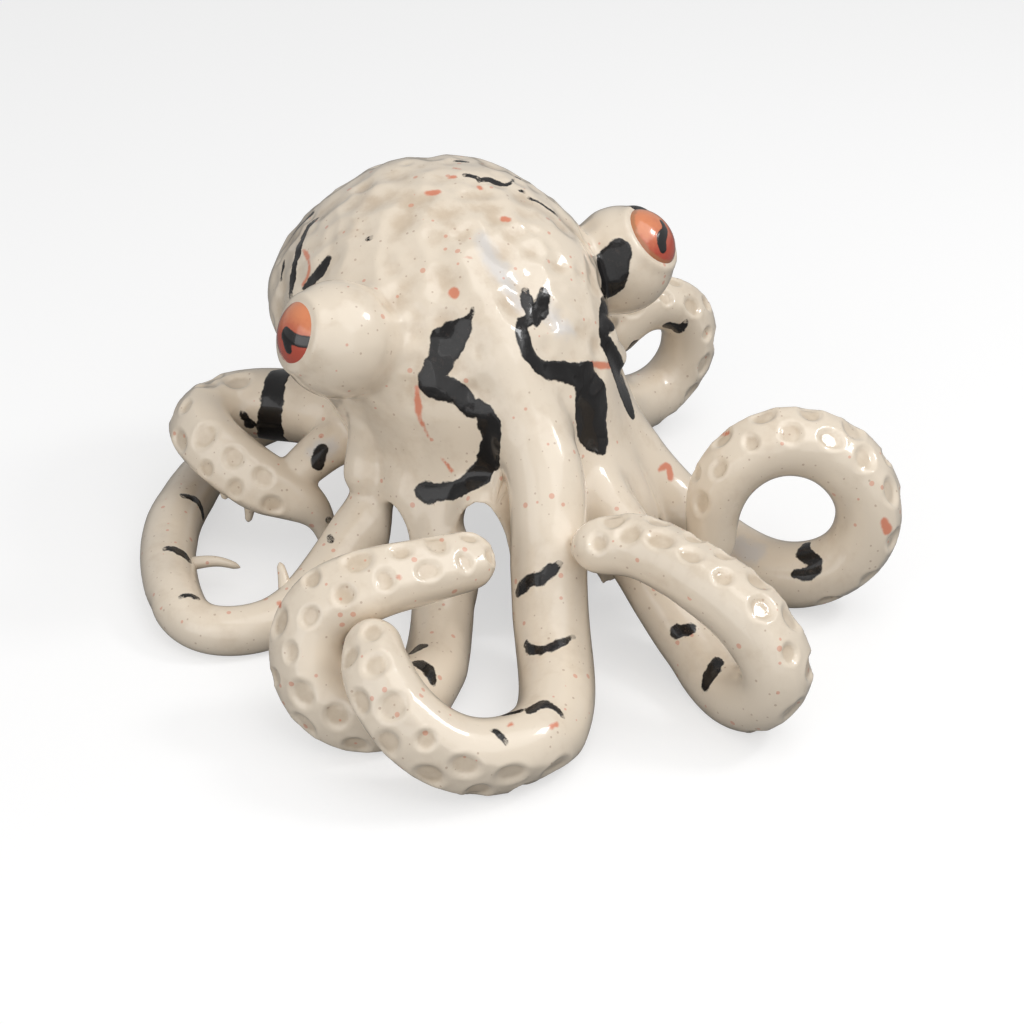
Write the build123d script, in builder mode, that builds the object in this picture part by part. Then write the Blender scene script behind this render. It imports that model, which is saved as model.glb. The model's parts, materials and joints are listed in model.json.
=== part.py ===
"""Octopus figurine, hand-built in clay: a hollow body, two raised eyes, eight curling arms and four spurs.

+Z is up, the figure rests on the plane at zero, and the display front looks along -Y. Every piece is a
separate solid, and neighbours meet face to face where the maker lutes them together.
"""

import os

from build123d import *

os.makedirs("parts", exist_ok=True)

# Whole figure, in millimetres
figure_width = 281.0
figure_depth = 285.0
figure_height = 142.0
foot_flat = 0.8
overrun = 5.0

# Hollow body, longest along the way it faces, in degrees from +X
body_length = 148.0
body_breadth = 116.0
body_wall = 6.0
seam_height = 66.0
face_heading = -52.0

# Eyes
eye_mound_diameter = 41.0
eye_mound_length = 42.0
eyeball_diameter = 26.0
eyeball_outset = 11.0

# Arms and spurs
arm_thickness = 25.0
spur_thickness = 4.4
spur_tip_thickness = 1.4
spur_length = 9.0

# The middle line of an arm of full thickness can reach this far from the middle of the figure
reach_across = (figure_width - arm_thickness) / 2
reach_along = (figure_depth - arm_thickness) / 2

# Body sections from the rim to the crown: height, middle across and along, length and breadth
body_shares = [
    (0.10, 0.00, 0.130, 0.80, 0.99),
    (0.21, -0.02, 0.140, 0.77, 0.96),
    (0.41, -0.10, 0.215, 0.81, 0.90),
    (0.60, -0.22, 0.310, 1.00, 1.00),
    (0.74, -0.225, 0.340, 0.92, 0.95),
    (0.86, -0.21, 0.360, 0.715, 0.79),
    (0.94, -0.21, 0.375, 0.49, 0.55),
    (0.98, -0.21, 0.385, 0.30, 0.34),
    (1.00, -0.21, 0.385, 0.11, 0.12),
]
hollow_rows = 7

# Rim of the body, and the section that the eyes are level with
rim_row = body_shares[0]
head_row = body_shares[4]

# Arches in the rim between neighbouring arms: heading in degrees, then width and top
arch_shares = [
    (-98.0, 0.115, 0.28),
    (-135.0, 0.160, 0.22),
    (178.0, 0.190, 0.20),
    (138.0, 0.160, 0.20),
    (88.0, 0.220, 0.20),
    (27.0, 0.220, 0.20),
    (-28.0, 0.160, 0.20),
    (-64.0, 0.090, 0.22),
]

# Eye mounds: height, then place forward and sideways on the body
eye_shares = {
    "left": (0.725, 0.35, -1.05),
    "right": (0.700, 0.35, 1.14),
}

# Way that each eyeball looks out of its mound: forward, sideways and up
gaze_shares = {
    "left": (-0.16, -0.84, 0.52),
    "right": (0.54, 0.49, 0.68),
}

# Middle lines of the arms, root first: across, along, lift off the resting plane, girth
# The front arm starts as a crest that comes out of the brow and runs down the face
arm_shares = {
    "arm_front": [
        (-0.130, 0.030, 0.832, 0.32),
        (-0.101, -0.036, 0.769, 0.50),
        (-0.064, -0.090, 0.691, 0.68),
        (-0.032, -0.128, 0.610, 0.84),
        (0.002, -0.159, 0.523, 0.96),
        (0.039, -0.197, 0.439, 1.03),
        (0.075, -0.269, 0.355, 1.08),
        (0.086, -0.398, 0.213, 1.06),
        (0.097, -0.571, 0.051, 1.04),
        (0.102, -0.775, 0.000, 1.02),
        (0.032, -0.953, 0.000, 1.00),
        (-0.129, -1.023, 0.025, 0.99),
        (-0.270, -1.002, 0.106, 0.97),
        (-0.345, -0.910, 0.188, 0.90),
        (-0.356, -0.851, 0.223, 0.78),
    ],
    "arm_front_left": [
        (-0.162, -0.054, 0.223, 0.88),
        (-0.194, -0.269, 0.091, 0.88),
        (-0.205, -0.452, 0.010, 0.88),
        (-0.237, -0.668, 0.000, 0.92),
        (-0.334, -0.808, 0.000, 0.96),
        (-0.453, -0.808, 0.010, 0.98),
        (-0.534, -0.754, 0.091, 0.98),
        (-0.507, -0.695, 0.208, 0.97),
        (-0.323, -0.662, 0.284, 0.92),
        (-0.130, -0.580, 0.296, 0.80),
    ],
    "arm_left": [
        (-0.323, 0.065, 0.203, 0.88),
        (-0.442, -0.086, 0.112, 0.86),
        (-0.528, -0.215, 0.051, 0.82),
        (-0.679, -0.361, 0.000, 0.72),
        (-0.852, -0.382, 0.000, 0.70),
        (-0.976, -0.183, 0.000, 0.80),
        (-1.019, 0.151, 0.000, 0.85),
        (-0.981, 0.431, 0.000, 0.78),
    ],
    "arm_left_rear": [
        (-0.356, 0.280, 0.254, 1.15),
        (-0.582, 0.372, 0.218, 1.15),
        (-0.733, 0.442, 0.203, 1.12),
        (-0.863, 0.442, 0.208, 1.06),
        (-0.938, 0.355, 0.218, 1.00),
        (-0.922, 0.253, 0.213, 0.98),
        (-0.825, 0.167, 0.167, 0.97),
        (-0.712, 0.118, 0.127, 0.90),
        (-0.620, 0.108, 0.106, 0.66),
        (-0.571, 0.097, 0.076, 0.42),
        (-0.555, 0.081, 0.030, 0.25),
    ],
    "arm_right_front": [
        (0.100, 0.020, 0.300, 0.92),
        (0.237, -0.151, 0.220, 0.90),
        (0.372, -0.345, 0.101, 0.88),
        (0.491, -0.538, 0.000, 0.86),
        (0.604, -0.738, 0.000, 0.90),
        (0.663, -0.802, 0.086, 0.96),
        (0.588, -0.743, 0.223, 0.98),
        (0.442, -0.625, 0.284, 0.93),
        (0.296, -0.522, 0.304, 0.86),
        (0.216, -0.512, 0.304, 0.76),
    ],
    "arm_right": [
        (0.216, 0.172, 0.345, 0.95),
        (0.464, 0.097, 0.091, 0.92),
        (0.615, -0.032, 0.010, 0.94),
        (0.787, -0.151, 0.000, 0.98),
        (0.938, -0.188, 0.071, 1.00),
        (0.986, -0.183, 0.193, 1.00),
        (0.927, -0.156, 0.314, 1.00),
        (0.787, -0.140, 0.380, 0.98),
        (0.636, -0.151, 0.355, 0.93),
        (0.550, -0.178, 0.254, 0.84),
        (0.544, -0.199, 0.152, 0.70),
    ],
    "arm_right_rear": [
        (0.080, 0.360, 0.250, 1.00),
        (0.230, 0.600, 0.150, 1.00),
        (0.370, 0.810, 0.040, 1.00),
        (0.496, 0.926, 0.051, 0.98),
        (0.571, 0.964, 0.162, 0.96),
        (0.535, 0.953, 0.290, 0.92),
        (0.420, 0.894, 0.335, 0.86),
        (0.315, 0.818, 0.290, 0.74),
    ],
    "arm_rear": [
        (-0.120, 0.380, 0.250, 1.00),
        (-0.210, 0.560, 0.150, 1.00),
        (-0.345, 0.775, 0.020, 0.98),
        (-0.539, 0.915, 0.000, 0.94),
        (-0.744, 0.883, 0.000, 0.88),
        (-0.863, 0.722, 0.020, 0.78),
    ],
}

# Rounded tip of an arm: distance past the last middle point, and girth, both of the last radius
tip_shares = [(0.42, 0.91), (0.74, 0.67), (0.93, 0.37), (0.99, 0.14)]

# Distance between the round sections along an arm, of its thickness
stop_spacing_share = 0.36

# Spurs: the arm that carries it, place along the arm's rows, way out of the arm, length, bend at the tip
spur_shares = {
    "spur_left_rear_outer": ("arm_left_rear", 5.75, (-0.10, -0.10, -1.0), 0.62, (0.10, 0.0, 0.0)),
    "spur_left_rear_inner": ("arm_left_rear", 6.30, (0.05, -0.10, -1.0), 1.00, (-0.15, 0.0, 0.0)),
    "spur_left_curved": ("arm_left", 5.25, (1.0, 0.05, 0.25), 1.78, (0.05, 0.0, -0.40)),
    "spur_left_upright": ("arm_left", 2.75, (-0.15, 0.75, 0.80), 1.00, (-0.1, 0.0, 0.1)),
}


def arm_point(row):
    """Middle point of an arm at one row of its shares: an unlifted row lies with its flat on the ground."""
    across, along, lift, girth = row
    height = girth * arm_thickness / 2 - foot_flat + lift * figure_height
    return Vector(across * reach_across, along * reach_along, height)


def round_section(plane, radius):
    """One round section of an arm or spur, in quarter arcs so that all sections line up."""
    with BuildSketch(plane) as section:
        with BuildLine():
            for quarter in range(4):
                CenterArc((0, 0), radius, 90 * quarter, 90)
        make_face()
    return section.sketch


def section_planes(stops):
    """Planes square to a line at each stop (point, tangent, radius), turning only as the line does."""
    planes = []
    side = stops[0][1].cross(Vector(0, 1, 0))
    for point, tangent, _ in stops:
        side = side - tangent * side.dot(tangent)
        planes.append(Plane(origin=point, x_dir=side, z_dir=tangent))
    return planes


def arm_stops(rows):
    """Points, tangents and radii at even steps along an arm's smooth middle line, and round its tip."""
    points = [arm_point(row) for row in rows]
    line = Edge.make_spline(points)
    marks = [line.param_at_point(point) for point in points]
    stops = []
    for index in range(len(rows) - 1):
        span = (points[index + 1] - points[index]).length
        steps = max(1, round(span / (stop_spacing_share * arm_thickness)))
        for step in range(steps):
            part = step / steps
            mark = marks[index] + part * (marks[index + 1] - marks[index])
            girth = rows[index][3] + part * (rows[index + 1][3] - rows[index][3])
            stops.append((line.position_at(mark), line.tangent_at(mark), girth * arm_thickness / 2))
    last_point, last_tangent = line.position_at(1), line.tangent_at(1)
    last_radius = rows[-1][3] * arm_thickness / 2
    stops.append((last_point, last_tangent, last_radius))
    for past, share in tip_shares:
        stops.append((last_point + last_tangent * past * last_radius, last_tangent, share * last_radius))
    return stops


def body_section(row, inset, height):
    """One level oval section of the body, smaller all round by the inset."""
    _, across, along, length, breadth = row
    middle = Plane(
        origin=(across * reach_across, along * reach_along, height),
        x_dir=Vector(1, 0, 0).rotate(Axis.Z, face_heading),
        z_dir=(0, 0, 1),
    )
    half_length = length * body_length / 2 - inset
    half_breadth = breadth * body_breadth / 2 - inset
    with BuildSketch(middle) as section:
        with BuildLine():
            for quarter in range(4):
                EllipticalCenterArc((0, 0), half_length, half_breadth, 90 * quarter, arc_size=90)
        make_face()
    return section.sketch


# Outer form of the body, which every neighbour is cut to
with BuildPart() as body_form:
    loft([body_section(row, 0, row[0] * figure_height) for row in body_shares])

# Hollow inside the body, open at the rim
hollow_height = figure_height - body_wall
with BuildPart() as hollow:
    mouth = body_section(rim_row, body_wall, rim_row[0] * hollow_height - overrun)
    inner_rows = body_shares[:hollow_rows]
    loft([mouth] + [body_section(row, body_wall, row[0] * hollow_height) for row in inner_rows])

# Domed upper shell
with BuildPart() as mantle:
    add(body_form.part)
    add(hollow.part, mode=Mode.SUBTRACT)
    split(bisect_by=Plane.XY.offset(seam_height), keep=Keep.TOP)
mantle.part.label = "mantle"
pieces = [mantle.part]

# Lower shell, arched between the arms
rim_middle = Vector(rim_row[1] * reach_across, rim_row[2] * reach_along, rim_row[0] * figure_height)
with BuildPart() as skirt:
    add(body_form.part)
    add(hollow.part, mode=Mode.SUBTRACT)
    split(bisect_by=Plane.XY.offset(seam_height), keep=Keep.BOTTOM)
    for heading, width, top in arch_shares:
        outward = Vector(1, 0, 0).rotate(Axis.Z, heading)
        facing = Plane(origin=rim_middle, x_dir=outward.cross(Vector(0, 0, 1)), z_dir=outward)
        with BuildSketch(facing):
            Ellipse(width * body_breadth / 2, top * figure_height - rim_middle.Z)
        extrude(amount=body_length, mode=Mode.SUBTRACT)
skirt.part.label = "skirt"
pieces.append(skirt.part)

# Eye mounds and eyeballs
forward = Vector(1, 0, 0).rotate(Axis.Z, face_heading)
sideways = forward.rotate(Axis.Z, 90)
head_middle = Vector(head_row[1] * reach_across, head_row[2] * reach_along, 0)
for side, (height, ahead, aside) in eye_shares.items():
    outward = sideways if aside > 0 else sideways * -1
    place = head_middle + forward * ahead * body_length / 2 + sideways * aside * body_breadth / 2
    place = Vector(place.X, place.Y, height * figure_height)
    gaze_forward, gaze_sideways, gaze_up = gaze_shares[side]
    gaze = forward * gaze_forward + sideways * gaze_sideways + Vector(0, 0, 1) * gaze_up
    ball_place = place + gaze.normalized() * eyeball_outset

    with BuildPart() as eyeball:
        with Locations(ball_place):
            Sphere(eyeball_diameter / 2)
    eyeball.part.label = f"{side}_eyeball"
    pieces.append(eyeball.part)

    with BuildPart() as eye_mound:
        with BuildSketch(Plane(origin=place, x_dir=outward, z_dir=outward.cross(Vector(0, 0, 1)))):
            with BuildLine():
                EllipticalCenterArc((0, 0), eye_mound_length / 2, eye_mound_diameter / 2, 0, arc_size=90)
                EllipticalCenterArc((0, 0), eye_mound_length / 2, eye_mound_diameter / 2, 90, arc_size=90)
                Line((-eye_mound_length / 2, 0), (eye_mound_length / 2, 0))
            make_face()
        revolve(axis=Axis(place, outward))
        add(body_form.part, mode=Mode.SUBTRACT)
        add(eyeball.part, mode=Mode.SUBTRACT)
    eye_mound.part.label = f"{side}_eye_mound"
    pieces.append(eye_mound.part)

# Arms, each cut flat underneath, cut to the body, and cut to the arms already laid
arms = {}
for name, rows in arm_shares.items():
    stops = arm_stops(rows)
    planes = section_planes(stops)
    with BuildPart() as arm:
        loft([round_section(plane, stop[2]) for plane, stop in zip(planes, stops)])
        split(bisect_by=Plane.XY, keep=Keep.TOP)
        add(body_form.part, mode=Mode.SUBTRACT)
        for laid in arms.values():
            add(laid, mode=Mode.SUBTRACT)
    arm.part.label = name
    arms[name] = arm.part
pieces.extend(arms.values())

# Spurs, drawn out from the middle of the arm that carries them and cut to its surface
for name, (carrier, place, way, length_share, bend) in spur_shares.items():
    rows = arm_shares[carrier]
    before, after = rows[int(place)], rows[int(place) + 1]
    share = place - int(place)
    row = [low + share * (high - low) for low, high in zip(before, after)]
    root = arm_point(row)
    radius = row[3] * arm_thickness / 2
    way = Vector(*way).normalized()
    bend = Vector(*bend)
    length = length_share * spur_length
    foot = root + way * radius
    middle = foot + way * length / 2 + bend * length / 4
    tip = foot + way * length + bend * length
    line = Edge.make_spline([root, foot, middle, tip])
    foot_mark = line.param_at_point(foot)
    marks = [0, foot_mark, (foot_mark + 1) / 2, 1]
    mid_thickness = (spur_thickness + spur_tip_thickness) / 2
    widths = [spur_thickness, spur_thickness, mid_thickness, spur_tip_thickness]
    stops = []
    for mark, width in zip(marks, widths):
        stops.append((line.position_at(mark), line.tangent_at(mark), width / 2))
    planes = section_planes(stops)
    with BuildPart() as spur:
        loft([round_section(plane, stop[2]) for plane, stop in zip(planes, stops)])
        add(arms[carrier], mode=Mode.SUBTRACT)
    spur.part.label = name
    pieces.append(spur.part)

# The origin is under the middle of the whole figure
box = Compound(children=[piece.moved(Location()) for piece in pieces]).bounding_box()
to_origin = Location((-box.center().X, -box.center().Y, 0))
for piece in pieces:
    placed = piece.moved(to_origin)
    placed.label = piece.label
    export_step(placed, f"parts/{piece.label}.step")
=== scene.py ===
"""Glazed pottery octopus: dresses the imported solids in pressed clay, brushed marks and ivory glaze.

The clay of the body, eye mounds and arms is shaped as one wet form, so that the joints are smoothed over
as a potter smooths them. The form is then parted along its joints into pieces that stand for the solids
one by one.
"""

import json
import math

import bmesh
import bpy
import numpy as np
from bpy.props import FloatProperty, FloatVectorProperty, IntProperty, PointerProperty
from mathutils import Matrix, Vector

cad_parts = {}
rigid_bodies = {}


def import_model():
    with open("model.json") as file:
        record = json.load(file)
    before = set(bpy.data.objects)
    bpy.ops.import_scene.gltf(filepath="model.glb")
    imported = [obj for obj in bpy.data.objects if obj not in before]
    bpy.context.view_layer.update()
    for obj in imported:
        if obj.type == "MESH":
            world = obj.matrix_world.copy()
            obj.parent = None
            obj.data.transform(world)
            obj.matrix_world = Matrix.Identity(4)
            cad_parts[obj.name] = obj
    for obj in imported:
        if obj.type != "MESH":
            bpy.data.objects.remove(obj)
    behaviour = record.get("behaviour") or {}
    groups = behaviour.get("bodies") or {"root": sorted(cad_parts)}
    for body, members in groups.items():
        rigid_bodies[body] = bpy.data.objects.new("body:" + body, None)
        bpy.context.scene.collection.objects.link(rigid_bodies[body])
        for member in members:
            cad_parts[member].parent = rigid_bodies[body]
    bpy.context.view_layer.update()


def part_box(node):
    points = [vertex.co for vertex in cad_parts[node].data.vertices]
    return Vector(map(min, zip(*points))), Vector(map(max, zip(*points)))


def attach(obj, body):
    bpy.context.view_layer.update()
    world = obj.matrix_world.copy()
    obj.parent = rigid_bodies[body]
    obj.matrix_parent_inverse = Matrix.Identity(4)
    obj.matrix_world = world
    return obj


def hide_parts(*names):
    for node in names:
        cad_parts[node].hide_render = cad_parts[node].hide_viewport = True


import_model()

bl_info = {
    "name": "Pottery octopus",
    "version": (1, 0, 0),
    "blender": (4, 5, 0),
    "location": "3D View > Sidebar > Octopus",
    "description": "Dresses the packed octopus in pressed clay and brushed glaze",
    "category": "Add Mesh",
}

mm = 0.001

# Rings and segments of the bare shapes
body_ring_count = 56
body_segments = 160
coil_step = 2.5 * mm
coil_segments = 32
fold_ring_count = 24
fold_segments = 24
spur_ring_count = 26
spur_segments = 20

# How far a spur's foot goes into its arm
spur_sink = 1.6 * mm

# The hollow of the body runs out below the rim, and is wider where it cuts the arms' roots
hollow_drop = 0.03
hollow_ease = 1.5 * mm

# Joints: how far from an arm or a mound its clay reaches, and how a split edge is held off its ends
joint_reach = 6 * mm
split_margin_share = 0.08

# Suckers: turn to either side of the row's middle, and ranges of their sway, size, stretch and step
sucker_turn = 0.50
sucker_sway = 0.06
sucker_size_shares = (0.70, 1.10)
sucker_stretch_shares = (0.88, 1.14)
sucker_step_shares = (0.95, 1.08)
sucker_lip_share = 0.10

# Dents and lumps: how many, and the range of their radii in mm
dent_count = 480
dent_radii = (4.0, 11.0)
full_dent_radius = 8 * mm
dented_height_share = 0.60
lump_count = 900
lump_radii = (3.0, 7.5)

# Brush strokes: spacing of their points, how far round them counts, and half widths where the brush runs dry
stroke_step = 0.5 * mm
stroke_room = 12 * mm
dry_half_width = 1.9 * mm
dry_range = 1.1 * mm
no_stroke = 30.0

# Soft boxes: place, size and power
lamp_rows = {
    "key": ((0.50, -0.25, 1.25), 1.30, 7.6),
    "front": ((0.10, -1.10, 0.60), 1.30, 3.6),
    "left": ((-0.85, -0.80, 0.40), 1.00, 3.8),
    "sparkle": ((0.72, 0.05, 0.80), 0.20, 2.0),
}
lamp_aim = Vector((0, 0, 0.05))
floor_half = 3.0

# Body sections from the rim to the crown: height, middle across and along, length and breadth
body_shares = [
    (0.10, 0.00, 0.130, 0.80, 0.99),
    (0.21, -0.02, 0.140, 0.77, 0.96),
    (0.41, -0.10, 0.215, 0.81, 0.90),
    (0.60, -0.22, 0.310, 1.00, 1.00),
    (0.74, -0.225, 0.340, 0.92, 0.95),
    (0.86, -0.21, 0.360, 0.715, 0.79),
    (0.94, -0.21, 0.375, 0.49, 0.55),
    (0.98, -0.21, 0.385, 0.30, 0.34),
    (1.00, -0.21, 0.385, 0.11, 0.12),
]
head_row = body_shares[4]

# Arches in the rim between neighbouring arms: heading in degrees, then width and top
arch_shares = [
    (-103.0, 0.210, 0.37),
    (-142.0, 0.190, 0.28),
    (178.0, 0.190, 0.20),
    (138.0, 0.160, 0.20),
    (88.0, 0.220, 0.20),
    (27.0, 0.220, 0.20),
    (-28.0, 0.160, 0.20),
    (-64.0, 0.090, 0.22),
]

# Eye mounds: height, then place forward and sideways on the body
eye_shares = {"left": (0.725, 0.35, -1.05), "right": (0.700, 0.35, 1.14)}

# Way that each eyeball looks out of its mound: forward, sideways and up
gaze_shares = {"left": (-0.16, -0.84, 0.52), "right": (0.54, 0.49, 0.68)}

# How far each eyeball shifts as it is pressed in: forward, sideways and up
eyeball_shifts = {"left": (0.4 * mm, -2.2 * mm, -1.2 * mm), "right": (2.2 * mm, -0.3 * mm, 1.2 * mm)}

# Middle lines of the arms, root first: across, along, lift off the resting plane, girth
# The front arm starts as a crest that comes out of the brow and runs down the face
arm_shares = {
    "arm_front": [
        (-0.130, 0.030, 0.832, 0.32), (-0.101, -0.036, 0.769, 0.50), (-0.064, -0.090, 0.691, 0.68),
        (-0.032, -0.128, 0.610, 0.84), (0.002, -0.159, 0.523, 0.96), (0.039, -0.197, 0.439, 1.03),
        (0.075, -0.269, 0.355, 1.08), (0.086, -0.398, 0.213, 1.06),
        (0.097, -0.571, 0.051, 1.04), (0.102, -0.775, 0.000, 1.02), (0.032, -0.953, 0.000, 1.00),
        (-0.129, -1.023, 0.025, 0.99), (-0.270, -1.002, 0.106, 0.97), (-0.345, -0.910, 0.188, 0.90),
        (-0.356, -0.851, 0.223, 0.78),
    ],
    "arm_front_left": [
        (-0.162, -0.054, 0.223, 0.88), (-0.194, -0.269, 0.091, 0.88), (-0.205, -0.452, 0.010, 0.88),
        (-0.237, -0.668, 0.000, 0.92), (-0.334, -0.808, 0.000, 0.96), (-0.453, -0.808, 0.010, 0.98),
        (-0.534, -0.754, 0.091, 0.98), (-0.507, -0.695, 0.208, 0.97), (-0.323, -0.662, 0.284, 0.92),
        (-0.130, -0.580, 0.296, 0.80),
    ],
    "arm_left": [
        (-0.323, 0.065, 0.203, 0.88), (-0.442, -0.086, 0.112, 0.86), (-0.528, -0.215, 0.051, 0.82),
        (-0.679, -0.361, 0.000, 0.72), (-0.852, -0.382, 0.000, 0.70), (-0.976, -0.183, 0.000, 0.80),
        (-1.019, 0.151, 0.000, 0.85), (-0.981, 0.431, 0.000, 0.78),
    ],
    "arm_left_rear": [
        (-0.356, 0.280, 0.254, 1.15), (-0.582, 0.372, 0.218, 1.15), (-0.733, 0.442, 0.203, 1.12),
        (-0.863, 0.442, 0.208, 1.06), (-0.938, 0.355, 0.218, 1.00), (-0.922, 0.253, 0.213, 0.98),
        (-0.825, 0.167, 0.167, 0.97), (-0.712, 0.118, 0.127, 0.90), (-0.620, 0.108, 0.106, 0.66),
        (-0.571, 0.097, 0.076, 0.42), (-0.555, 0.081, 0.030, 0.25),
    ],
    "arm_right_front": [
        (0.100, 0.020, 0.300, 0.92), (0.237, -0.151, 0.220, 0.90), (0.372, -0.345, 0.101, 0.88),
        (0.491, -0.538, 0.000, 0.86), (0.604, -0.738, 0.000, 0.90), (0.663, -0.802, 0.086, 0.96),
        (0.588, -0.743, 0.223, 0.98), (0.442, -0.625, 0.284, 0.93), (0.296, -0.522, 0.304, 0.86),
        (0.216, -0.512, 0.304, 0.76),
    ],
    "arm_right": [
        (0.216, 0.172, 0.345, 0.95), (0.464, 0.097, 0.091, 0.92), (0.615, -0.032, 0.010, 0.94),
        (0.787, -0.151, 0.000, 0.98), (0.938, -0.188, 0.071, 1.00), (0.986, -0.183, 0.193, 1.00),
        (0.927, -0.156, 0.314, 1.00), (0.787, -0.140, 0.380, 0.98), (0.636, -0.151, 0.355, 0.93),
        (0.550, -0.178, 0.254, 0.84), (0.544, -0.199, 0.152, 0.70),
    ],
    "arm_right_rear": [
        (0.080, 0.360, 0.250, 1.00), (0.230, 0.600, 0.150, 1.00), (0.370, 0.810, 0.040, 1.00),
        (0.496, 0.926, 0.051, 0.98), (0.571, 0.964, 0.162, 0.96), (0.535, 0.953, 0.290, 0.92),
        (0.420, 0.894, 0.335, 0.86), (0.315, 0.818, 0.290, 0.74),
    ],
    "arm_rear": [
        (-0.120, 0.380, 0.250, 1.00), (-0.210, 0.560, 0.150, 1.00), (-0.345, 0.775, 0.020, 0.98),
        (-0.539, 0.915, 0.000, 0.94), (-0.744, 0.883, 0.000, 0.88), (-0.863, 0.722, 0.020, 0.78),
    ],
}
tip_shares = [(0.42, 0.91), (0.74, 0.67), (0.93, 0.37), (0.99, 0.14)]

# Spurs: the arm that carries it, place along the arm's rows, way out of the arm, length, bend at the tip
spur_shares = {
    "spur_left_rear_outer": ("arm_left_rear", 5.75, (-0.10, -0.10, -1.0), 0.62, (0.10, 0.0, 0.0)),
    "spur_left_rear_inner": ("arm_left_rear", 6.30, (0.05, -0.10, -1.0), 1.00, (-0.15, 0.0, 0.0)),
    "spur_left_curved": ("arm_left", 5.25, (1.0, 0.05, 0.25), 1.78, (0.05, 0.0, -0.40)),
    "spur_left_upright": ("arm_left", 2.75, (-0.15, 0.75, 0.80), 1.00, (-0.1, 0.0, 0.1)),
}

# Way that the suckers face, at places along an arm's rows: the first and last bound the pressed stretch
sucker_ways = {
    "arm_front": [
        (9.7, (-0.1, -0.80, -0.55)), (10.6, (-0.2, -0.95, -0.25)), (11.5, (-0.35, -0.90, 0.15)),
        (12.5, (-0.45, -0.75, 0.45)), (14.4, (-0.40, -0.62, 0.65)),
    ],
    "arm_front_left": [
        (3.8, (-0.3, -0.90, -0.25)), (5.0, (-0.6, -0.75, 0.10)), (6.0, (-0.80, -0.55, 0.25)),
        (7.0, (-0.55, -0.60, 0.60)), (8.0, (-0.15, -0.55, 0.82)), (9.4, (0.0, -0.50, 0.86)),
    ],
    "arm_left_rear": [
        (2.9, (-0.1, 0.10, 1.0)), (4.0, (-0.75, -0.35, 0.55)), (5.0, (-0.60, -0.65, 0.45)),
        (6.0, (-0.25, -0.90, 0.35)), (7.5, (0.0, -0.95, 0.25)),
    ],
    "arm_right_front": [
        (4.2, (0.70, -0.60, 0.0)), (5.0, (0.85, -0.50, 0.15)), (6.0, (0.70, -0.40, 0.60)),
        (7.0, (0.48, -0.30, 0.82)), (8.0, (0.40, -0.30, 0.85)), (9.4, (0.25, -0.35, 0.90)),
    ],
    "arm_right": [
        (3.5, (0.30, -0.50, -0.80)), (4.3, (0.75, -0.40, -0.45)), (5.0, (0.95, -0.25, 0.10)),
        (6.0, (0.62, -0.28, 0.72)), (7.0, (0.0, -0.28, 0.95)), (8.0, (-0.62, -0.30, 0.70)),
        (9.3, (-0.92, -0.35, 0.10)),
    ],
    "arm_right_rear": [
        (2.6, (0.60, 0.10, -0.60)), (3.5, (0.85, -0.35, -0.20)), (4.2, (0.92, -0.35, 0.15)),
        (5.0, (0.62, -0.40, 0.65)), (6.0, (-0.10, -0.40, 0.92)), (7.3, (-0.75, -0.35, 0.50)),
    ],
}

# Flap at the tip of the left rear arm, pressed back against the arm's root, in the same way as the arms
flap_shares = {
    "arm_left_rear": [
        (-0.683, 0.123, 0.154, 0.56), (-0.620, 0.169, 0.189, 0.64), (-0.550, 0.223, 0.217, 0.72),
        (-0.480, 0.277, 0.245, 0.72),
    ],
}

# Folds of the skirt that run into the arms, as pixels of the photograph: place, and rise in mm
fold_pixels = {
    "right": [(600, 322, 3.5), (620, 365, 4.5), (640, 412, 5.0), (664, 455, 4.5), (690, 490, 3.5)],
    "left": [(356, 412, 1.0), (362, 436, 4.0), (366, 460, 7.5), (369, 480, 9.5), (369, 494, 8.0)],
}

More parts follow.
